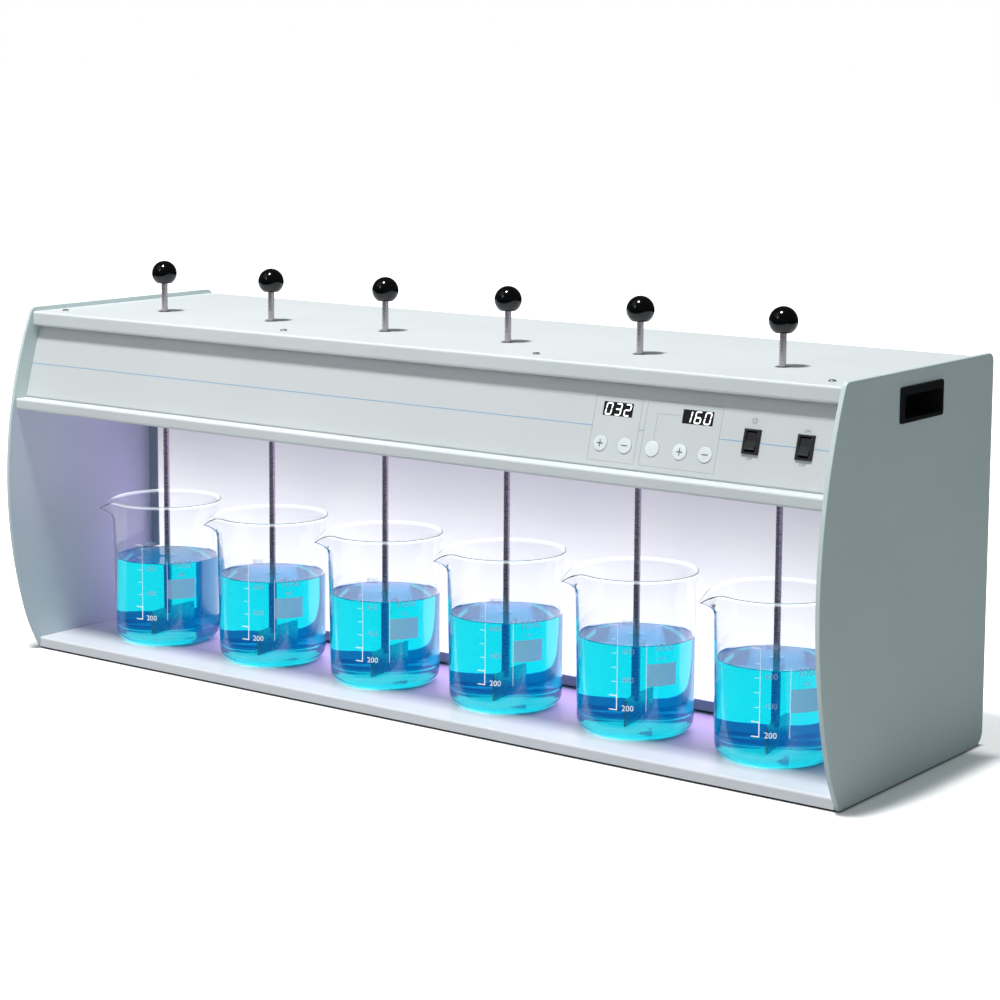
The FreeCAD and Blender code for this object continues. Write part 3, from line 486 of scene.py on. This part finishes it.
# %% Light wall
brightest = 1.12
glow_foot, glow_head = (0.0, 1.0), (1.0, 0.22)
glow_between = ((0.2, 1.0), (0.4, 0.88), (0.6, 0.62), (0.8, 0.38))
cast_violet = (2.5, 1.5, 3.6, 1)
cast_past_tubes = (0.4, 0.3, 0.5, 1)
fade_inside, fade_outside = 150 * mm, 20 * mm


def light_wall_material(bottom, top, tube_end):
    material, node_set, links, surface = node_material("opal_sheet")
    parts = place_parts(node_set, links)
    height = map_range(node_set, links, parts["Z"], bottom, top, 0.0, 1.0)
    curve = node_set.new("ShaderNodeFloatCurve")
    points = curve.mapping.curves[0].points
    points[0].location = glow_foot
    points[1].location = glow_head
    for spot in glow_between:
        points.new(*spot)
    links.new(height, curve.inputs["Value"])
    strength = calculate(node_set, links, "MULTIPLY", curve.outputs["Value"], brightest)
    links.new(strength, surface.inputs["Emission Strength"])
    mist = noise(node_set, links, object_coordinates(node_set), scale=12)
    haze = spread(node_set, links, mist, 0, 1)
    seen = mix_colours(node_set, links, haze, (0.97, 0.97, 1.0, 1), grey(1.0))
    along = calculate(node_set, links, "ABSOLUTE", parts["X"])
    fade_start, fade_end = tube_end - fade_inside, tube_end + fade_outside
    past_tubes = ramp(node_set, links, along, fade_start, fade_end, 0.0, 1.0)
    cast = mix_colours(node_set, links, past_tubes, cast_violet, cast_past_tubes)
    glow = colour_by_ray(node_set, links, cast, [(mirror_rays + through_rays + eye_rays, seen)])
    links.new(glow, surface.inputs["Emission Color"])
    surface.inputs["Base Color"].default_value = linear(190, 191, 196)
    surface.inputs["Roughness"].default_value = 0.35
    return material


# %% [markdown]
# ## Glass and water
# Glass bends light by 1.47 and water by 1.33, and both cast light shadows rather than black ones.
# Light could be traced through both, but it would arrive as noise. So lamps see them as clear, and
# everything else sees real glass. The water's blue comes from its depth: a volume that swallows
# red, by a plain constant. The water is also given a faint painted glow of blue light, which keeps
# its shaded parts deep blue. The melted rim gathers light from all round like a rod lens, so it is
# given a faint painted glow of its own.

# %% Glass and water


def show_clear(node_set, links, surface, share, tint=grey(1.0)):
    """Shows a share of the surface as plain clear film."""
    clear = node_set.new("ShaderNodeBsdfTransparent")
    clear.inputs["Color"].default_value = tint
    mix = node_set.new("ShaderNodeMixShader")
    feed(links, mix.inputs["Fac"], share)
    links.new(surface.outputs[0], mix.inputs[1])
    links.new(clear.outputs[0], mix.inputs[2])
    links.new(mix.outputs[0], node_set["Material Output"].inputs["Surface"])


def clear_to_lamps(node_set, links, surface, tint):
    """Lets lamp rays straight through a glass surface, lightly tinted."""
    to_lamps = node_set.new("ShaderNodeLightPath").outputs["Is Shadow Ray"]
    show_clear(node_set, links, surface, to_lamps, tint)


rim_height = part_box("jar_1")[1].z
rim_shine = 0.25
rim_shine_start, rim_shine_full = rim_height - 4 * mm, rim_height - 2 * mm


def glass_material():
    material, node_set, links, surface = node_material("jar_glass")
    surface.inputs["Base Color"].default_value = (0.985, 0.992, 0.995, 1)
    surface.inputs["Transmission Weight"].default_value = 1.0
    surface.inputs["IOR"].default_value = 1.47
    place = object_coordinates(node_set)
    drawn_out = stretched(node_set, links, place, (1, 1, 0.35))
    flow = noise(node_set, links, drawn_out, scale=60, detail=1)
    rough_by(node_set, links, flow, surface, 0.0, 0.012)
    bump(node_set, links, flow, 0.04 * mm, surface)
    # A painted glow on the rim: an emission over the glass's top four millimetres.
    surface.inputs["Emission Color"].default_value = (0.9, 0.95, 1, 1)
    height = place_parts(node_set, links)["Z"]
    shine = ramp(node_set, links, height, rim_shine_start, rim_shine_full, 0.0, rim_shine)
    links.new(shine, surface.inputs["Emission Strength"])
    clear_to_lamps(node_set, links, surface, (0.97, 0.98, 0.985, 1))
    return material


def water_material():
    material, node_set, links, surface = node_material("blue_water")
    surface.inputs["Base Color"].default_value = grey(1.0)
    surface.inputs["Transmission Weight"].default_value = 1.0
    surface.inputs["Roughness"].default_value = 0.0
    surface.inputs["IOR"].default_value = 1.333
    swallow = node_set.new("ShaderNodeVolumeAbsorption")
    swallow.inputs["Color"].default_value = (0.0, 0.91, 0.853, 1)
    swallow.inputs["Density"].default_value = 55
    # A painted glow of blue light inside the water.
    painted_glow = node_set.new("ShaderNodeEmission")
    painted_glow.inputs["Color"].default_value = (0.0, 0.22, 1.0, 1)
    painted_glow.inputs["Strength"].default_value = 5.4
    both = node_set.new("ShaderNodeAddShader")
    links.new(swallow.outputs[0], both.inputs[0])
    links.new(painted_glow.outputs[0], both.inputs[1])
    links.new(both.outputs[0], node_set["Material Output"].inputs["Volume"])
    ripple = noise(node_set, links, object_coordinates(node_set), scale=90, detail=1)
    bump(node_set, links, ripple, 0.05 * mm, surface)
    clear_to_lamps(node_set, links, surface, grey(1.0))
    return material


# %% [markdown]
# ## Printing inks and small finishes
# Marks on the front film are screen printed and the jar's scale is fired enamel. The display's bars
# glow on a dark window. The board behind the fascia is woven glass fibre, so a fine wave runs over
# it.

# %% Inks, displays and board


def ink(name, colour):
    return moulding(name, colour, 0.55, grain=0.003 * mm, grain_scale=3000)


def enamel_material(name, colour, see_through_share, glow):
    """Enamel on glass: lit from the front, a painted glow for light from behind, and a little
    see-through.
    """
    material, node_set, links, surface = node_material(name)
    fine = noise(node_set, links, object_coordinates(node_set), scale=2500)
    grain = spread(node_set, links, fine, 0, 1)
    tint = drifting_colour(node_set, links, colour, grain, 0.9, 1.0)
    links.new(tint, surface.inputs["Base Color"])
    links.new(tint, surface.inputs["Emission Color"])
    surface.inputs["Emission Strength"].default_value = glow
    surface.inputs["Roughness"].default_value = 0.5
    show_clear(node_set, links, surface, see_through_share)
    return material


def glowing_bar_material():
    material, node_set, links, surface = node_material("display_bar")
    fine = noise(node_set, links, object_coordinates(node_set), scale=1800, detail=1)
    dots = spread(node_set, links, fine, 0, 1)
    glow = mix_colours(node_set, links, dots, (0.88, 0.90, 0.92, 1), grey(1.0))
    links.new(glow, surface.inputs["Emission Color"])
    surface.inputs["Emission Strength"].default_value = 1.0
    surface.inputs["Base Color"].default_value = grey(0.8)
    return material


def board_material(colour):
    material, node_set, links, surface = node_material("board_laminate")
    weave = node_set.new("ShaderNodeTexWave")
    weave.inputs["Scale"].default_value = 350
    weave.inputs["Distortion"].default_value = 0.4
    links.new(object_coordinates(node_set), weave.inputs["Vector"])
    tint = drifting_colour(node_set, links, colour, weave.outputs["Fac"], 0.8, 1.0)
    links.new(tint, surface.inputs["Base Color"])
    bump(node_set, links, weave.outputs["Fac"], 0.02 * mm, surface)
    surface.inputs["Roughness"].default_value = 0.35
    return material


# %% [markdown]
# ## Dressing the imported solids
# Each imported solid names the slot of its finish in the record. A table from slot to material keeps
# one finish for each slot, and the loop gives every node its own, so that no solid shows a flat
# colour.

# %% Give each node its finish
wall_low, wall_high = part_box("light_diffuser")
finishes = {
    "panel_paint": powder_coat(
        "panel_paint", linear(205, 220, 220), 0.46, peel=0.016 * mm, peel_scale=800
    ),
    "cover_paint": powder_coat("cover_paint", linear(222, 227, 228)),
    "head_paint": powder_coat("head_paint", linear(215, 220, 222)),
    "shelf_paint": pools_of_light(powder_coat("shelf_paint", linear(213, 217, 221)), 1.0),
    "fascia_paint": powder_coat(
        "fascia_paint", linear(207, 211, 212), 0.5, peel=0.004 * mm, peel_scale=1500
    ),
    "frame_paint": powder_coat("frame_paint", linear(150, 166, 176)),
    "opal_sheet": light_wall_material(wall_low.z, wall_high.z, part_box("lamp_tubes")[1].x),
    "white_enamel": powder_coat("white_enamel", linear(244, 244, 243), 0.3),
    "white_moulding": moulding("white_moulding", linear(238, 238, 234), 0.45),
    "lamp_glass": moulding("lamp_glass", linear(246, 246, 243), 0.15, coat=0.5),
    "black_moulding": moulding("black_moulding", linear(34, 35, 38), 0.42),
    "foot_rubber": moulding("foot_rubber", linear(44, 44, 45), 0.85, grain=0.03 * mm, grain_scale=700),
    "screw_steel": metal("screw_steel", (0.66, 0.66, 0.64, 1), 0.32),
    "board_laminate": board_material(linear(58, 120, 80)),
    "display_black": moulding("display_black", linear(30, 31, 33), 0.18, grain=0.002 * mm, coat=0.6),
    "zinc_plate": metal("zinc_plate", (0.66, 0.67, 0.67, 1), 0.4, grain_scale=120),
    "bush_bronze": metal("bush_bronze", (0.62, 0.44, 0.24, 1), 0.5, grain_scale=2200),
    # The rods' violet tint is a painted reflection of the violet light wall.
    "rod_steel": metal(
        "rod_steel", (0.57, 0.51, 0.57, 1), 0.28,
        grain=(0.1, 0.1, 1), grain_scale=2600, relief=0.0006 * mm, mirror_share=0.7,
    ),
    "motor_case": metal("motor_case", (0.40, 0.41, 0.43, 1), 0.55, grain_scale=600, relief=0.02 * mm),
    "rocker_black": moulding("rocker_black", linear(30, 31, 34), 0.28, coat=0.2),
    "gear_moulding": moulding("gear_moulding", linear(52, 52, 55), 0.5),
    "knob_black": moulding("knob_black", linear(4, 5, 7), 0.12, grain=0.001 * mm),
    "key_moulding": moulding("key_moulding", linear(228, 234, 237), 0.5),
    "jar_glass": glass_material(),
}
for node_name, node in nodes.items():
    node.material_slots[0].material = finishes[node_slots[node_name]]
print("finishes", len(finishes))

# %% [markdown]
# ## Blown glass jars
# A jar is blown in a mould and its rim is melted round, so no edge on it is sharp. It could be a
# cylinder with a wall, but the light in the foot and the rim comes from their curves. So half of
# its section is drawn from a few corners, the corners are rounded by bevels, and the section is
# spun. The spout is then pulled out of the rim by moving the points near it, as a glass blower
# pulls it with a rod.

# %% Sections that are spun
jar_radius = 52.5 * mm
jar_wall = 2.0 * mm
jar_floor = 3.0 * mm
jar_height = 145.0 * mm
rim_radius = 55.6 * mm
shelf_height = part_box("jar_1")[0].z
spin_steps = 96
dome_edge, foot_ring = 36 * mm, 40 * mm
dome_rise, inner_rise = 0.8 * mm, 0.5 * mm


def rounded_section(corners):
    """A wire in the XZ plane from (radius, height, rounding) corners, each rounded by that much."""
    bm = bmesh.new()
    points = [bm.verts.new((radius, 0, height)) for radius, height, _ in corners]
    for first, second in zip(points, points[1:]):
        bm.edges.new((first, second))
    places = [point.co.copy() for point in points]
    for place, (_, _, rounding) in zip(places, corners):
        if rounding > 0:
            corner = min(bm.verts, key=lambda point: (point.co - place).length)
            bmesh.ops.bevel(
                bm, geom=[corner], offset=rounding, offset_type="OFFSET", segments=6, profile=0.5,
                affect="VERTICES", material=-1,
            )
    return bm


def spin_section(bm):
    """Spins a section about the upright axis and closes it."""
    bmesh.ops.spin(
        bm, geom=bm.verts[:] + bm.edges[:], axis=(0, 0, 1), cent=(0, 0, 0), angle=math.tau,
        steps=spin_steps, use_merge=True,
    )
    bmesh.ops.remove_doubles(bm, verts=bm.verts, dist=0.01 * mm)
    bmesh.ops.recalc_face_normals(bm, faces=bm.faces)
    return bm


def smooth(piece, sharp_angle):
    for polygon in piece.data.polygons:
        polygon.use_smooth = True
    piece.data.set_sharp_from_angle(angle=math.radians(sharp_angle))


jar_section = [
    (0.0, dome_rise, 0),
    (dome_edge, dome_rise, 1 * mm),
    (foot_ring, 0.0, 1 * mm),
    (jar_radius, 0.0, 12 * mm),
    (jar_radius, jar_height - 12 * mm, 6 * mm),
    (rim_radius - 0.7 * mm, jar_height - 2.6 * mm, 0.6 * mm),
    (rim_radius, jar_height - 1.2 * mm, 0.8 * mm),
    (rim_radius - 1.2 * mm, jar_height, 0.9 * mm),
    (rim_radius - 2.7 * mm, jar_height - 1.2 * mm, 0.8 * mm),
    (jar_radius - jar_wall, jar_height - 12 * mm, 6 * mm),
    (jar_radius - jar_wall, jar_floor, 11 * mm),
    (foot_ring, jar_floor, 1 * mm),
    (dome_edge, jar_floor + inner_rise, 1 * mm),
    (0.0, jar_floor + inner_rise, 0),
]

# %% [markdown]
# The spout is a smooth pull. Points near the rim and near the spout's direction move outwards, draw
# together and dip, each by a bell-shaped share, so the wall flows into the lip with no crease.

# %% Pull the spout
spout_direction = math.radians(222)
spout_half_width = math.radians(27)
spout_reach = 69.0 * mm
spout_drop = 11.0 * mm
spout_start = 30 * mm
spout_gather = 0.55


def pull_spout(bm):
    pull = spout_reach - rim_radius
    for point in bm.verts:
        depth = jar_height - point.co.z
        if depth > spout_start:
            continue
        radius = math.hypot(point.co.x, point.co.y)
        away = math.atan2(point.co.y, point.co.x) - spout_direction
        away = (away + math.pi) % math.tau - math.pi
        if abs(away) > spout_half_width:
            continue
        near = math.cos(away / spout_half_width * math.pi / 2) ** 2
        rise = (1 - depth / spout_start) ** 2
        share = near * rise
        new_radius = radius + pull * share
        new_angle = spout_direction + away * (1 - spout_gather * rise * near)
        point.co.x = new_radius * math.cos(new_angle)
        point.co.y = new_radius * math.sin(new_angle)
        point.co.z -= spout_drop * near**1.5 * rise


def station_axis(k):
    low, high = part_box(f"ball_knob_{k}")
    return (low + high) / 2


def move_to_station(bm, k):
    axis = station_axis(k)
    bmesh.ops.translate(bm, verts=bm.verts, vec=(axis.x, axis.y, shelf_height))


def add_subdivision(piece):
    modifier = piece.modifiers.new("rounding", "SUBSURF")
    modifier.levels = 1
    modifier.render_levels = 1


def glass_jar(k):
    bm = spin_section(rounded_section(jar_section))
    pull_spout(bm)
    move_to_station(bm, k)
    piece = place_mesh(bm, f"glass_jar_{k}", finishes["jar_glass"])
    smooth(piece, sharp_angle=180)
    add_subdivision(piece)
    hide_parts(f"jar_{k}")
    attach(piece, f"jar_{k}")
    return piece


glass_jars = [glass_jar(k) for k in stations]
print("jar faces before rounding", len(glass_jars[0].data.polygons))

# %% [markdown]
# ## Blue water
# Water fills the jar to about 85 mm and climbs a little at the glass and at the rod. A block of
# colour would look like jelly. The water's skin is spun like the jar, and it reaches a little way
# into the wall: with no air between them, the light bends once into the water, as it does in a real
# jar.

# %% Water
water_level = 85 * mm
wall_overlap = 0.3 * mm
water_finish = water_material()


def water_section():
    inner = jar_radius - jar_wall + wall_overlap
    under = jar_floor - wall_overlap
    return [
        (0.0, under + inner_rise, 0),
        (dome_edge, under + inner_rise, 1 * mm),
        (foot_ring, under, 1 * mm),
        (inner, under, 11 * mm),
        (inner, water_level + 1.4 * mm, 0),
        (inner - 0.9 * mm, water_level + 0.5 * mm, 0),
        (inner - 3.5 * mm, water_level, 1.5 * mm),
        (8 * mm, water_level, 2 * mm),
        (3.4 * mm, water_level + 0.8 * mm, 0.5 * mm),
        (0.0, water_level + 0.9 * mm, 0),
    ]


def water(k):
    bm = spin_section(rounded_section(water_section()))
    move_to_station(bm, k)
    piece = place_mesh(bm, f"blue_water_{k}", water_finish)
    smooth(piece, sharp_angle=50)
    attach(piece, f"jar_{k}")


for k in stations:
    water(k)

# %% [markdown]
# ## The jar's fired scale
# The scale is a transfer that is fired onto the outside of the glass: a line with a tick at each
# 100 ml, numbers at each 200, and a patch to write on. It is built flat, where places are easy to
# give, and then wrapped round the glass by turning each point's distance along the print into an
# angle.

# %% Flat printing helpers
# Both enamels glow a little: painted light for the wall's light coming through them. The thinner
# enamel's bluish colour is painted light too, for the blue water seen through it.
enamel = enamel_material("jar_enamel", (0.92, 0.93, 0.95, 1), 0.2, 0.35)
writing_enamel = enamel_material("writing_enamel", (0.42, 0.60, 0.84, 1), 0.45, 0.16)
print_thickness = 0.06 * mm


def add_bar(bm, left, right, bottom, top, pieces=1):
    """A flat printed bar, in pieces where it has to bend."""
    step = (right - left) / pieces
    for number in range(pieces):
        start = left + number * step
        middle = Vector((start + step / 2, (bottom + top) / 2, print_thickness / 2))
        size = Matrix.Diagonal((step, top - bottom, print_thickness, 1))
        bmesh.ops.create_cube(bm, size=1, matrix=Matrix.Translation(middle) @ size)


def add_letters(bm, words, place, bottom, height, centred=False):
    """Letters of a given height, with their foot at bottom, that start or are centred at a place."""
    capital_share = 0.69
    curve = bpy.data.curves.new("letters", "FONT")
    curve.body = words
    curve.size = height / capital_share
    curve.extrude = print_thickness / 2
    curve.resolution_u = 3
    curve.align_x = "CENTER" if centred else "LEFT"
    letters = bpy.data.objects.new("letters", curve)
    bpy.context.scene.collection.objects.link(letters)
    bpy.context.view_layer.update()
    mesh = bpy.data.meshes.new_from_object(letters)
    mesh.transform(Matrix.Translation((place, bottom, print_thickness / 2)))
    bm.from_mesh(mesh)
    bpy.data.objects.remove(letters)
    bpy.data.curves.remove(curve)
    bpy.data.meshes.remove(mesh)


# %% Scale on each jar
scale_middle = math.radians(-75.3)
scale_foot = 28.7 * mm
tick_step = 12.65 * mm
long_tick = 6.6 * mm
short_tick = 4.4 * mm
scale_line = 0.4 * mm
bold_line = 0.9 * mm
first_tick, last_tick = 2, 8
bold_ticks = (2, 3, 8)
number_height = 5.0 * mm
number_left = 4.9 * mm
number_drop = 0.2 * mm
side_line = (26.3 * mm, 26.7 * mm)
side_line_top = 89.5 * mm


def tick_height(number):
    return scale_foot + (number - first_tick) * tick_step


def add_number(bm, number):
    add_letters(bm, str(number * 100), number_left, tick_height(number) - number_drop, number_height)


def jar_scale():
    """The scale, laid flat: right is round the glass, up is the height above the jar's foot."""
    bm = bmesh.new()
    for number in range(first_tick, last_tick + 1):
        height = tick_height(number)
        bold = number in bold_ticks
        length, line = (long_tick, bold_line) if bold else (short_tick, scale_line)
        add_bar(bm, -length, 0, height, height + line)
    add_number(bm, first_tick)
    bold_top = scale_foot + tick_step + bold_line
    add_bar(bm, 0, bold_line, scale_foot, bold_top)
    add_bar(bm, bold_line - scale_line, bold_line, bold_top, tick_height(last_tick) + bold_line)
    add_bar(bm, *side_line, scale_foot, side_line_top)
    return bm


def wrap_round_jar(bm, k):
    axis = station_axis(k)
    for point in bm.verts:
        radius = jar_radius + point.co.z
        turn = scale_middle + point.co.x / jar_radius
        x = axis.x + radius * math.cos(turn)
        y = axis.y + radius * math.sin(turn)
        point.co = (x, y, shelf_height + point.co.y)


patch_sides = (26.9 * mm, 55.4 * mm)
patch_heights = (50.5 * mm, 70.5 * mm)
patch_pieces = 14
patch_words = (("1000", 42.5 * mm, 81.5 * mm, 7.0 * mm), ("ml", 41.0 * mm, 73.0 * mm, 5.4 * mm))


def writing_patch():
    """The thinner enamel, laid flat: the patch for a pencil, the upper numbers and the jar's size."""
    bm = bmesh.new()
    add_bar(bm, *patch_sides, *patch_heights, pieces=patch_pieces)
    for number in (4, 6, 8):
        add_number(bm, number)
    for words, middle, foot, height in patch_words:
        add_letters(bm, words, middle, foot, height, centred=True)
    return bm


def fire_on_jar(bm, name, material, k):
    wrap_round_jar(bm, k)
    piece = place_mesh(bm, f"{name}_{k}", material)
    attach(piece, f"jar_{k}")


for k in stations:
    fire_on_jar(jar_scale(), "fired_scale", enamel, k)
    fire_on_jar(writing_patch(), "writing_patch", writing_enamel, k)

# %% [markdown]
# ## Printing on the fascia
# The front film carries a thin blue line, two outlined boxes and small grey signs. They could be
# painted by a shader, but a shader has to know where the slope is. Thin bars in the slope's own
# plane are simpler: right and up the slope are their two directions, and one matrix lays them all
# on the film.

# %% The slope's plane
fascia_lean = math.radians(16.1)
fascia_foot = Vector((0, -125.4 * mm, 262.0 * mm))
fascia_turn = Matrix.Rotation(math.radians(90) - fascia_lean, 4, "X")
on_fascia = Matrix.Translation(fascia_foot) @ fascia_turn
blue_ink = ink("blue_ink", linear(120, 175, 215))
grey_ink = ink("grey_ink", linear(160, 165, 170))
dark_ink = ink("dark_ink", linear(110, 116, 124))
print_lift = 0.01 * mm


def lay_on_fascia(bm, name, material, body="stand", lift=print_lift):
    bmesh.ops.transform(bm, matrix=on_fascia @ Matrix.Translation((0, 0, lift)), verts=bm.verts)
    piece = place_mesh(bm, name, material)
    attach(piece, body)
    return piece


# %% Line, boxes and signs
film_edge = 463.25 * mm
line_height = 35.2 * mm
line_width = 0.6 * mm
outline_width = 0.35 * mm
box_bottom = 5.7 * mm
box_top = 61.5 * mm
speed_box = (224.8 * mm, 272.1 * mm)
time_box = (277.2 * mm, 351.3 * mm)
line_runs = [
    (-film_edge, speed_box[0]),
    (speed_box[1], time_box[0]),
    (time_box[1], 374.0 * mm),
    (390.2 * mm, 423.8 * mm),
    (440.0 * mm, 453.9 * mm),
]
blue_line = bmesh.new()
for left, right in line_runs:
    add_bar(blue_line, left, right, line_height - line_width / 2, line_height + line_width / 2)
lay_on_fascia(blue_line, "fascia_line", blue_ink)


def add_outline(bm, left, right, bottom, top, width):
    add_bar(bm, left, right, bottom, bottom + width)
    add_bar(bm, left, right, top - width, top)
    add_bar(bm, left, left + width, bottom + width, top - width)
    add_bar(bm, right - width, right, bottom + width, top - width)


def add_ring(bm, centre, radius, width):
    """A printed ring: a disc whose middle is inset and taken out."""
    place = Matrix.Translation((*centre, print_thickness))
    disc = bmesh.ops.create_circle(bm, cap_ends=True, radius=radius, segments=40, matrix=place)
    face = disc["verts"][0].link_faces[0]
    bmesh.ops.inset_individual(bm, faces=[face], thickness=width, use_even_offset=True)
    bmesh.ops.delete(bm, geom=[face], context="FACES")


def add_all(bm, other):
    """Moves one mesh under work into another."""
    mesh = bpy.data.meshes.new("part")
    other.to_mesh(mesh)
    other.free()
    bm.from_mesh(mesh)
    bpy.data.meshes.remove(mesh)


outlines = bmesh.new()
for left, right in (speed_box, time_box):
    add_outline(outlines, left, right, box_bottom, box_top, outline_width)
time_display_x = 327.8 * mm
speed_display_x = 248.3 * mm
display_up = 50.8 * mm
set_key_x = 288.2 * mm
key_up = 20.7 * mm
key_radius = 6.85 * mm
key_gap = 1 * mm
display_half_width = 15 * mm
lead_width = 0.3 * mm
display_side = time_display_x - display_half_width
add_bar(outlines, set_key_x, set_key_x + lead_width, key_up + key_radius + key_gap, display_up)
add_bar(outlines, set_key_x, display_side, display_up, display_up + lead_width)
lay_on_fascia(outlines, "fascia_outlines", grey_ink)

signs = bmesh.new()
lamp_switch_x = 382.1 * mm
power_switch_x = 431.9 * mm
on_up, off_up = 48.2 * mm, 20.6 * mm
word_height = 2.4 * mm
add_letters(signs, "ON", power_switch_x, on_up, word_height, centred=True)
for x in (lamp_switch_x, power_switch_x):
    add_letters(signs, "OFF", x, off_up, word_height, centred=True)
icon_up = 53.0 * mm
icon_radius = 1.8 * mm
icon_line = 0.45 * mm
ray_count = 8
ray_start, ray_end = icon_radius + 0.5 * mm, icon_radius + 1.5 * mm
add_ring(signs, (lamp_switch_x, icon_up), icon_radius, icon_line)
icon_place = Matrix.Translation((lamp_switch_x, icon_up, 0))
for number in range(ray_count):
    ray = bmesh.new()
    add_bar(ray, ray_start, ray_end, -icon_line / 2, icon_line / 2)
    turn = Matrix.Rotation(number * math.tau / ray_count, 4, "Z")
    bmesh.ops.transform(ray, matrix=icon_place @ turn, verts=ray.verts)
    add_all(signs, ray)
lay_on_fascia(signs, "fascia_signs", dark_ink)

# %% [markdown]
# ## Display digits
# Each display has three digits of seven glowing bars, leaning a little to the right. A font could
# write them, but its curves would give it away. Here a digit is the set of bars that are lit, each
# a bar with pointed ends, and a shear makes the lean.

# %% Seven glowing bars
bar_sets = {"0": "abcdef", "1": "bc", "2": "abged", "3": "abgcd", "6": "afgedc"}
digit_height = 9.6 * mm
digit_width = 5.4 * mm
digit_step = 9.4 * mm
digit_thickness = 0.1 * mm
digit_lean = math.radians(8)
bar_width = 1.25 * mm
corner_share = 0.58


def add_pointed_bar(bm, start, end):
    """A bar between two corners of a digit, pointed at both ends."""
    run = (end - start).normalized()
    side = Vector((-run.y, run.x)) * bar_width / 2
    near = start + run * bar_width * corner_share
    far = end - run * bar_width * corner_share
    tip = run * bar_width / 2
    outline = [near - tip, near + side, far + side, far + tip, far - side, near - side]
    face = bm.faces.new([bm.verts.new((p.x, p.y, 0)) for p in outline])
    made = bmesh.ops.extrude_face_region(bm, geom=[face])
    lifted = [item for item in made["geom"] if isinstance(item, bmesh.types.BMVert)]
    bmesh.ops.translate(bm, verts=lifted, vec=(0, 0, digit_thickness))


def add_digit(bm, digit, centre_x, centre_y):
    left, right = centre_x - digit_width / 2, centre_x + digit_width / 2
    low, middle, high = centre_y - digit_height / 2, centre_y, centre_y + digit_height / 2
    bars = {
        "a": ((left, high), (right, high)),
        "b": ((right, high), (right, middle)),
        "c": ((right, middle), (right, low)),
        "d": ((right, low), (left, low)),
        "e": ((left, low), (left, middle)),
        "f": ((left, middle), (left, high)),
        "g": ((left, middle), (right, middle)),
    }
    for letter in bar_sets[digit]:
        start, end = bars[letter]
        add_pointed_bar(bm, Vector(start), Vector(end))


digits = bmesh.new()
for words, display_x in (("032", speed_display_x), ("160", time_display_x)):
    for number, digit in enumerate(words):
        add_digit(digits, digit, (number - 1) * digit_step, 0)
        fresh = [point for point in digits.verts if not point.tag]
        for point in fresh:
            point.tag = True
            point.co.x += display_x + point.co.y * math.tan(digit_lean)
            point.co.y += display_up
bmesh.ops.recalc_face_normals(digits, faces=digits.faces)
display_recess = 0.3 * mm
digit_lift = 0.02 * mm - display_recess
digit_piece = lay_on_fascia(digits, "display_digits", glowing_bar_material(), lift=digit_lift)

# %% [markdown]
# ## Signs on the keys
# The four outer keys carry a plus or a minus, and each rides on its own key, so that it goes in
# with it.

# %% Key signs
key_signs = {1: ("+", 236.0), 2: ("-", 260.7), 4: ("+", 315.6), 5: ("-", 340.3)}
sign_length = 6.0 * mm
sign_width = 1.0 * mm
key_rise = 0.8 * mm


def add_centred_bar(bm, x, y, length, height):
    add_bar(bm, x - length / 2, x + length / 2, y - height / 2, y + height / 2)


for k, (sign, key_x) in key_signs.items():
    bm = bmesh.new()
    add_centred_bar(bm, key_x * mm, key_up, sign_length, sign_width)
    if sign == "+":
        add_centred_bar(bm, key_x * mm, key_up, sign_width, sign_length)
    piece = lay_on_fascia(bm, f"key_sign_{k}", dark_ink, body=f"key_{k}", lift=key_rise + print_lift)
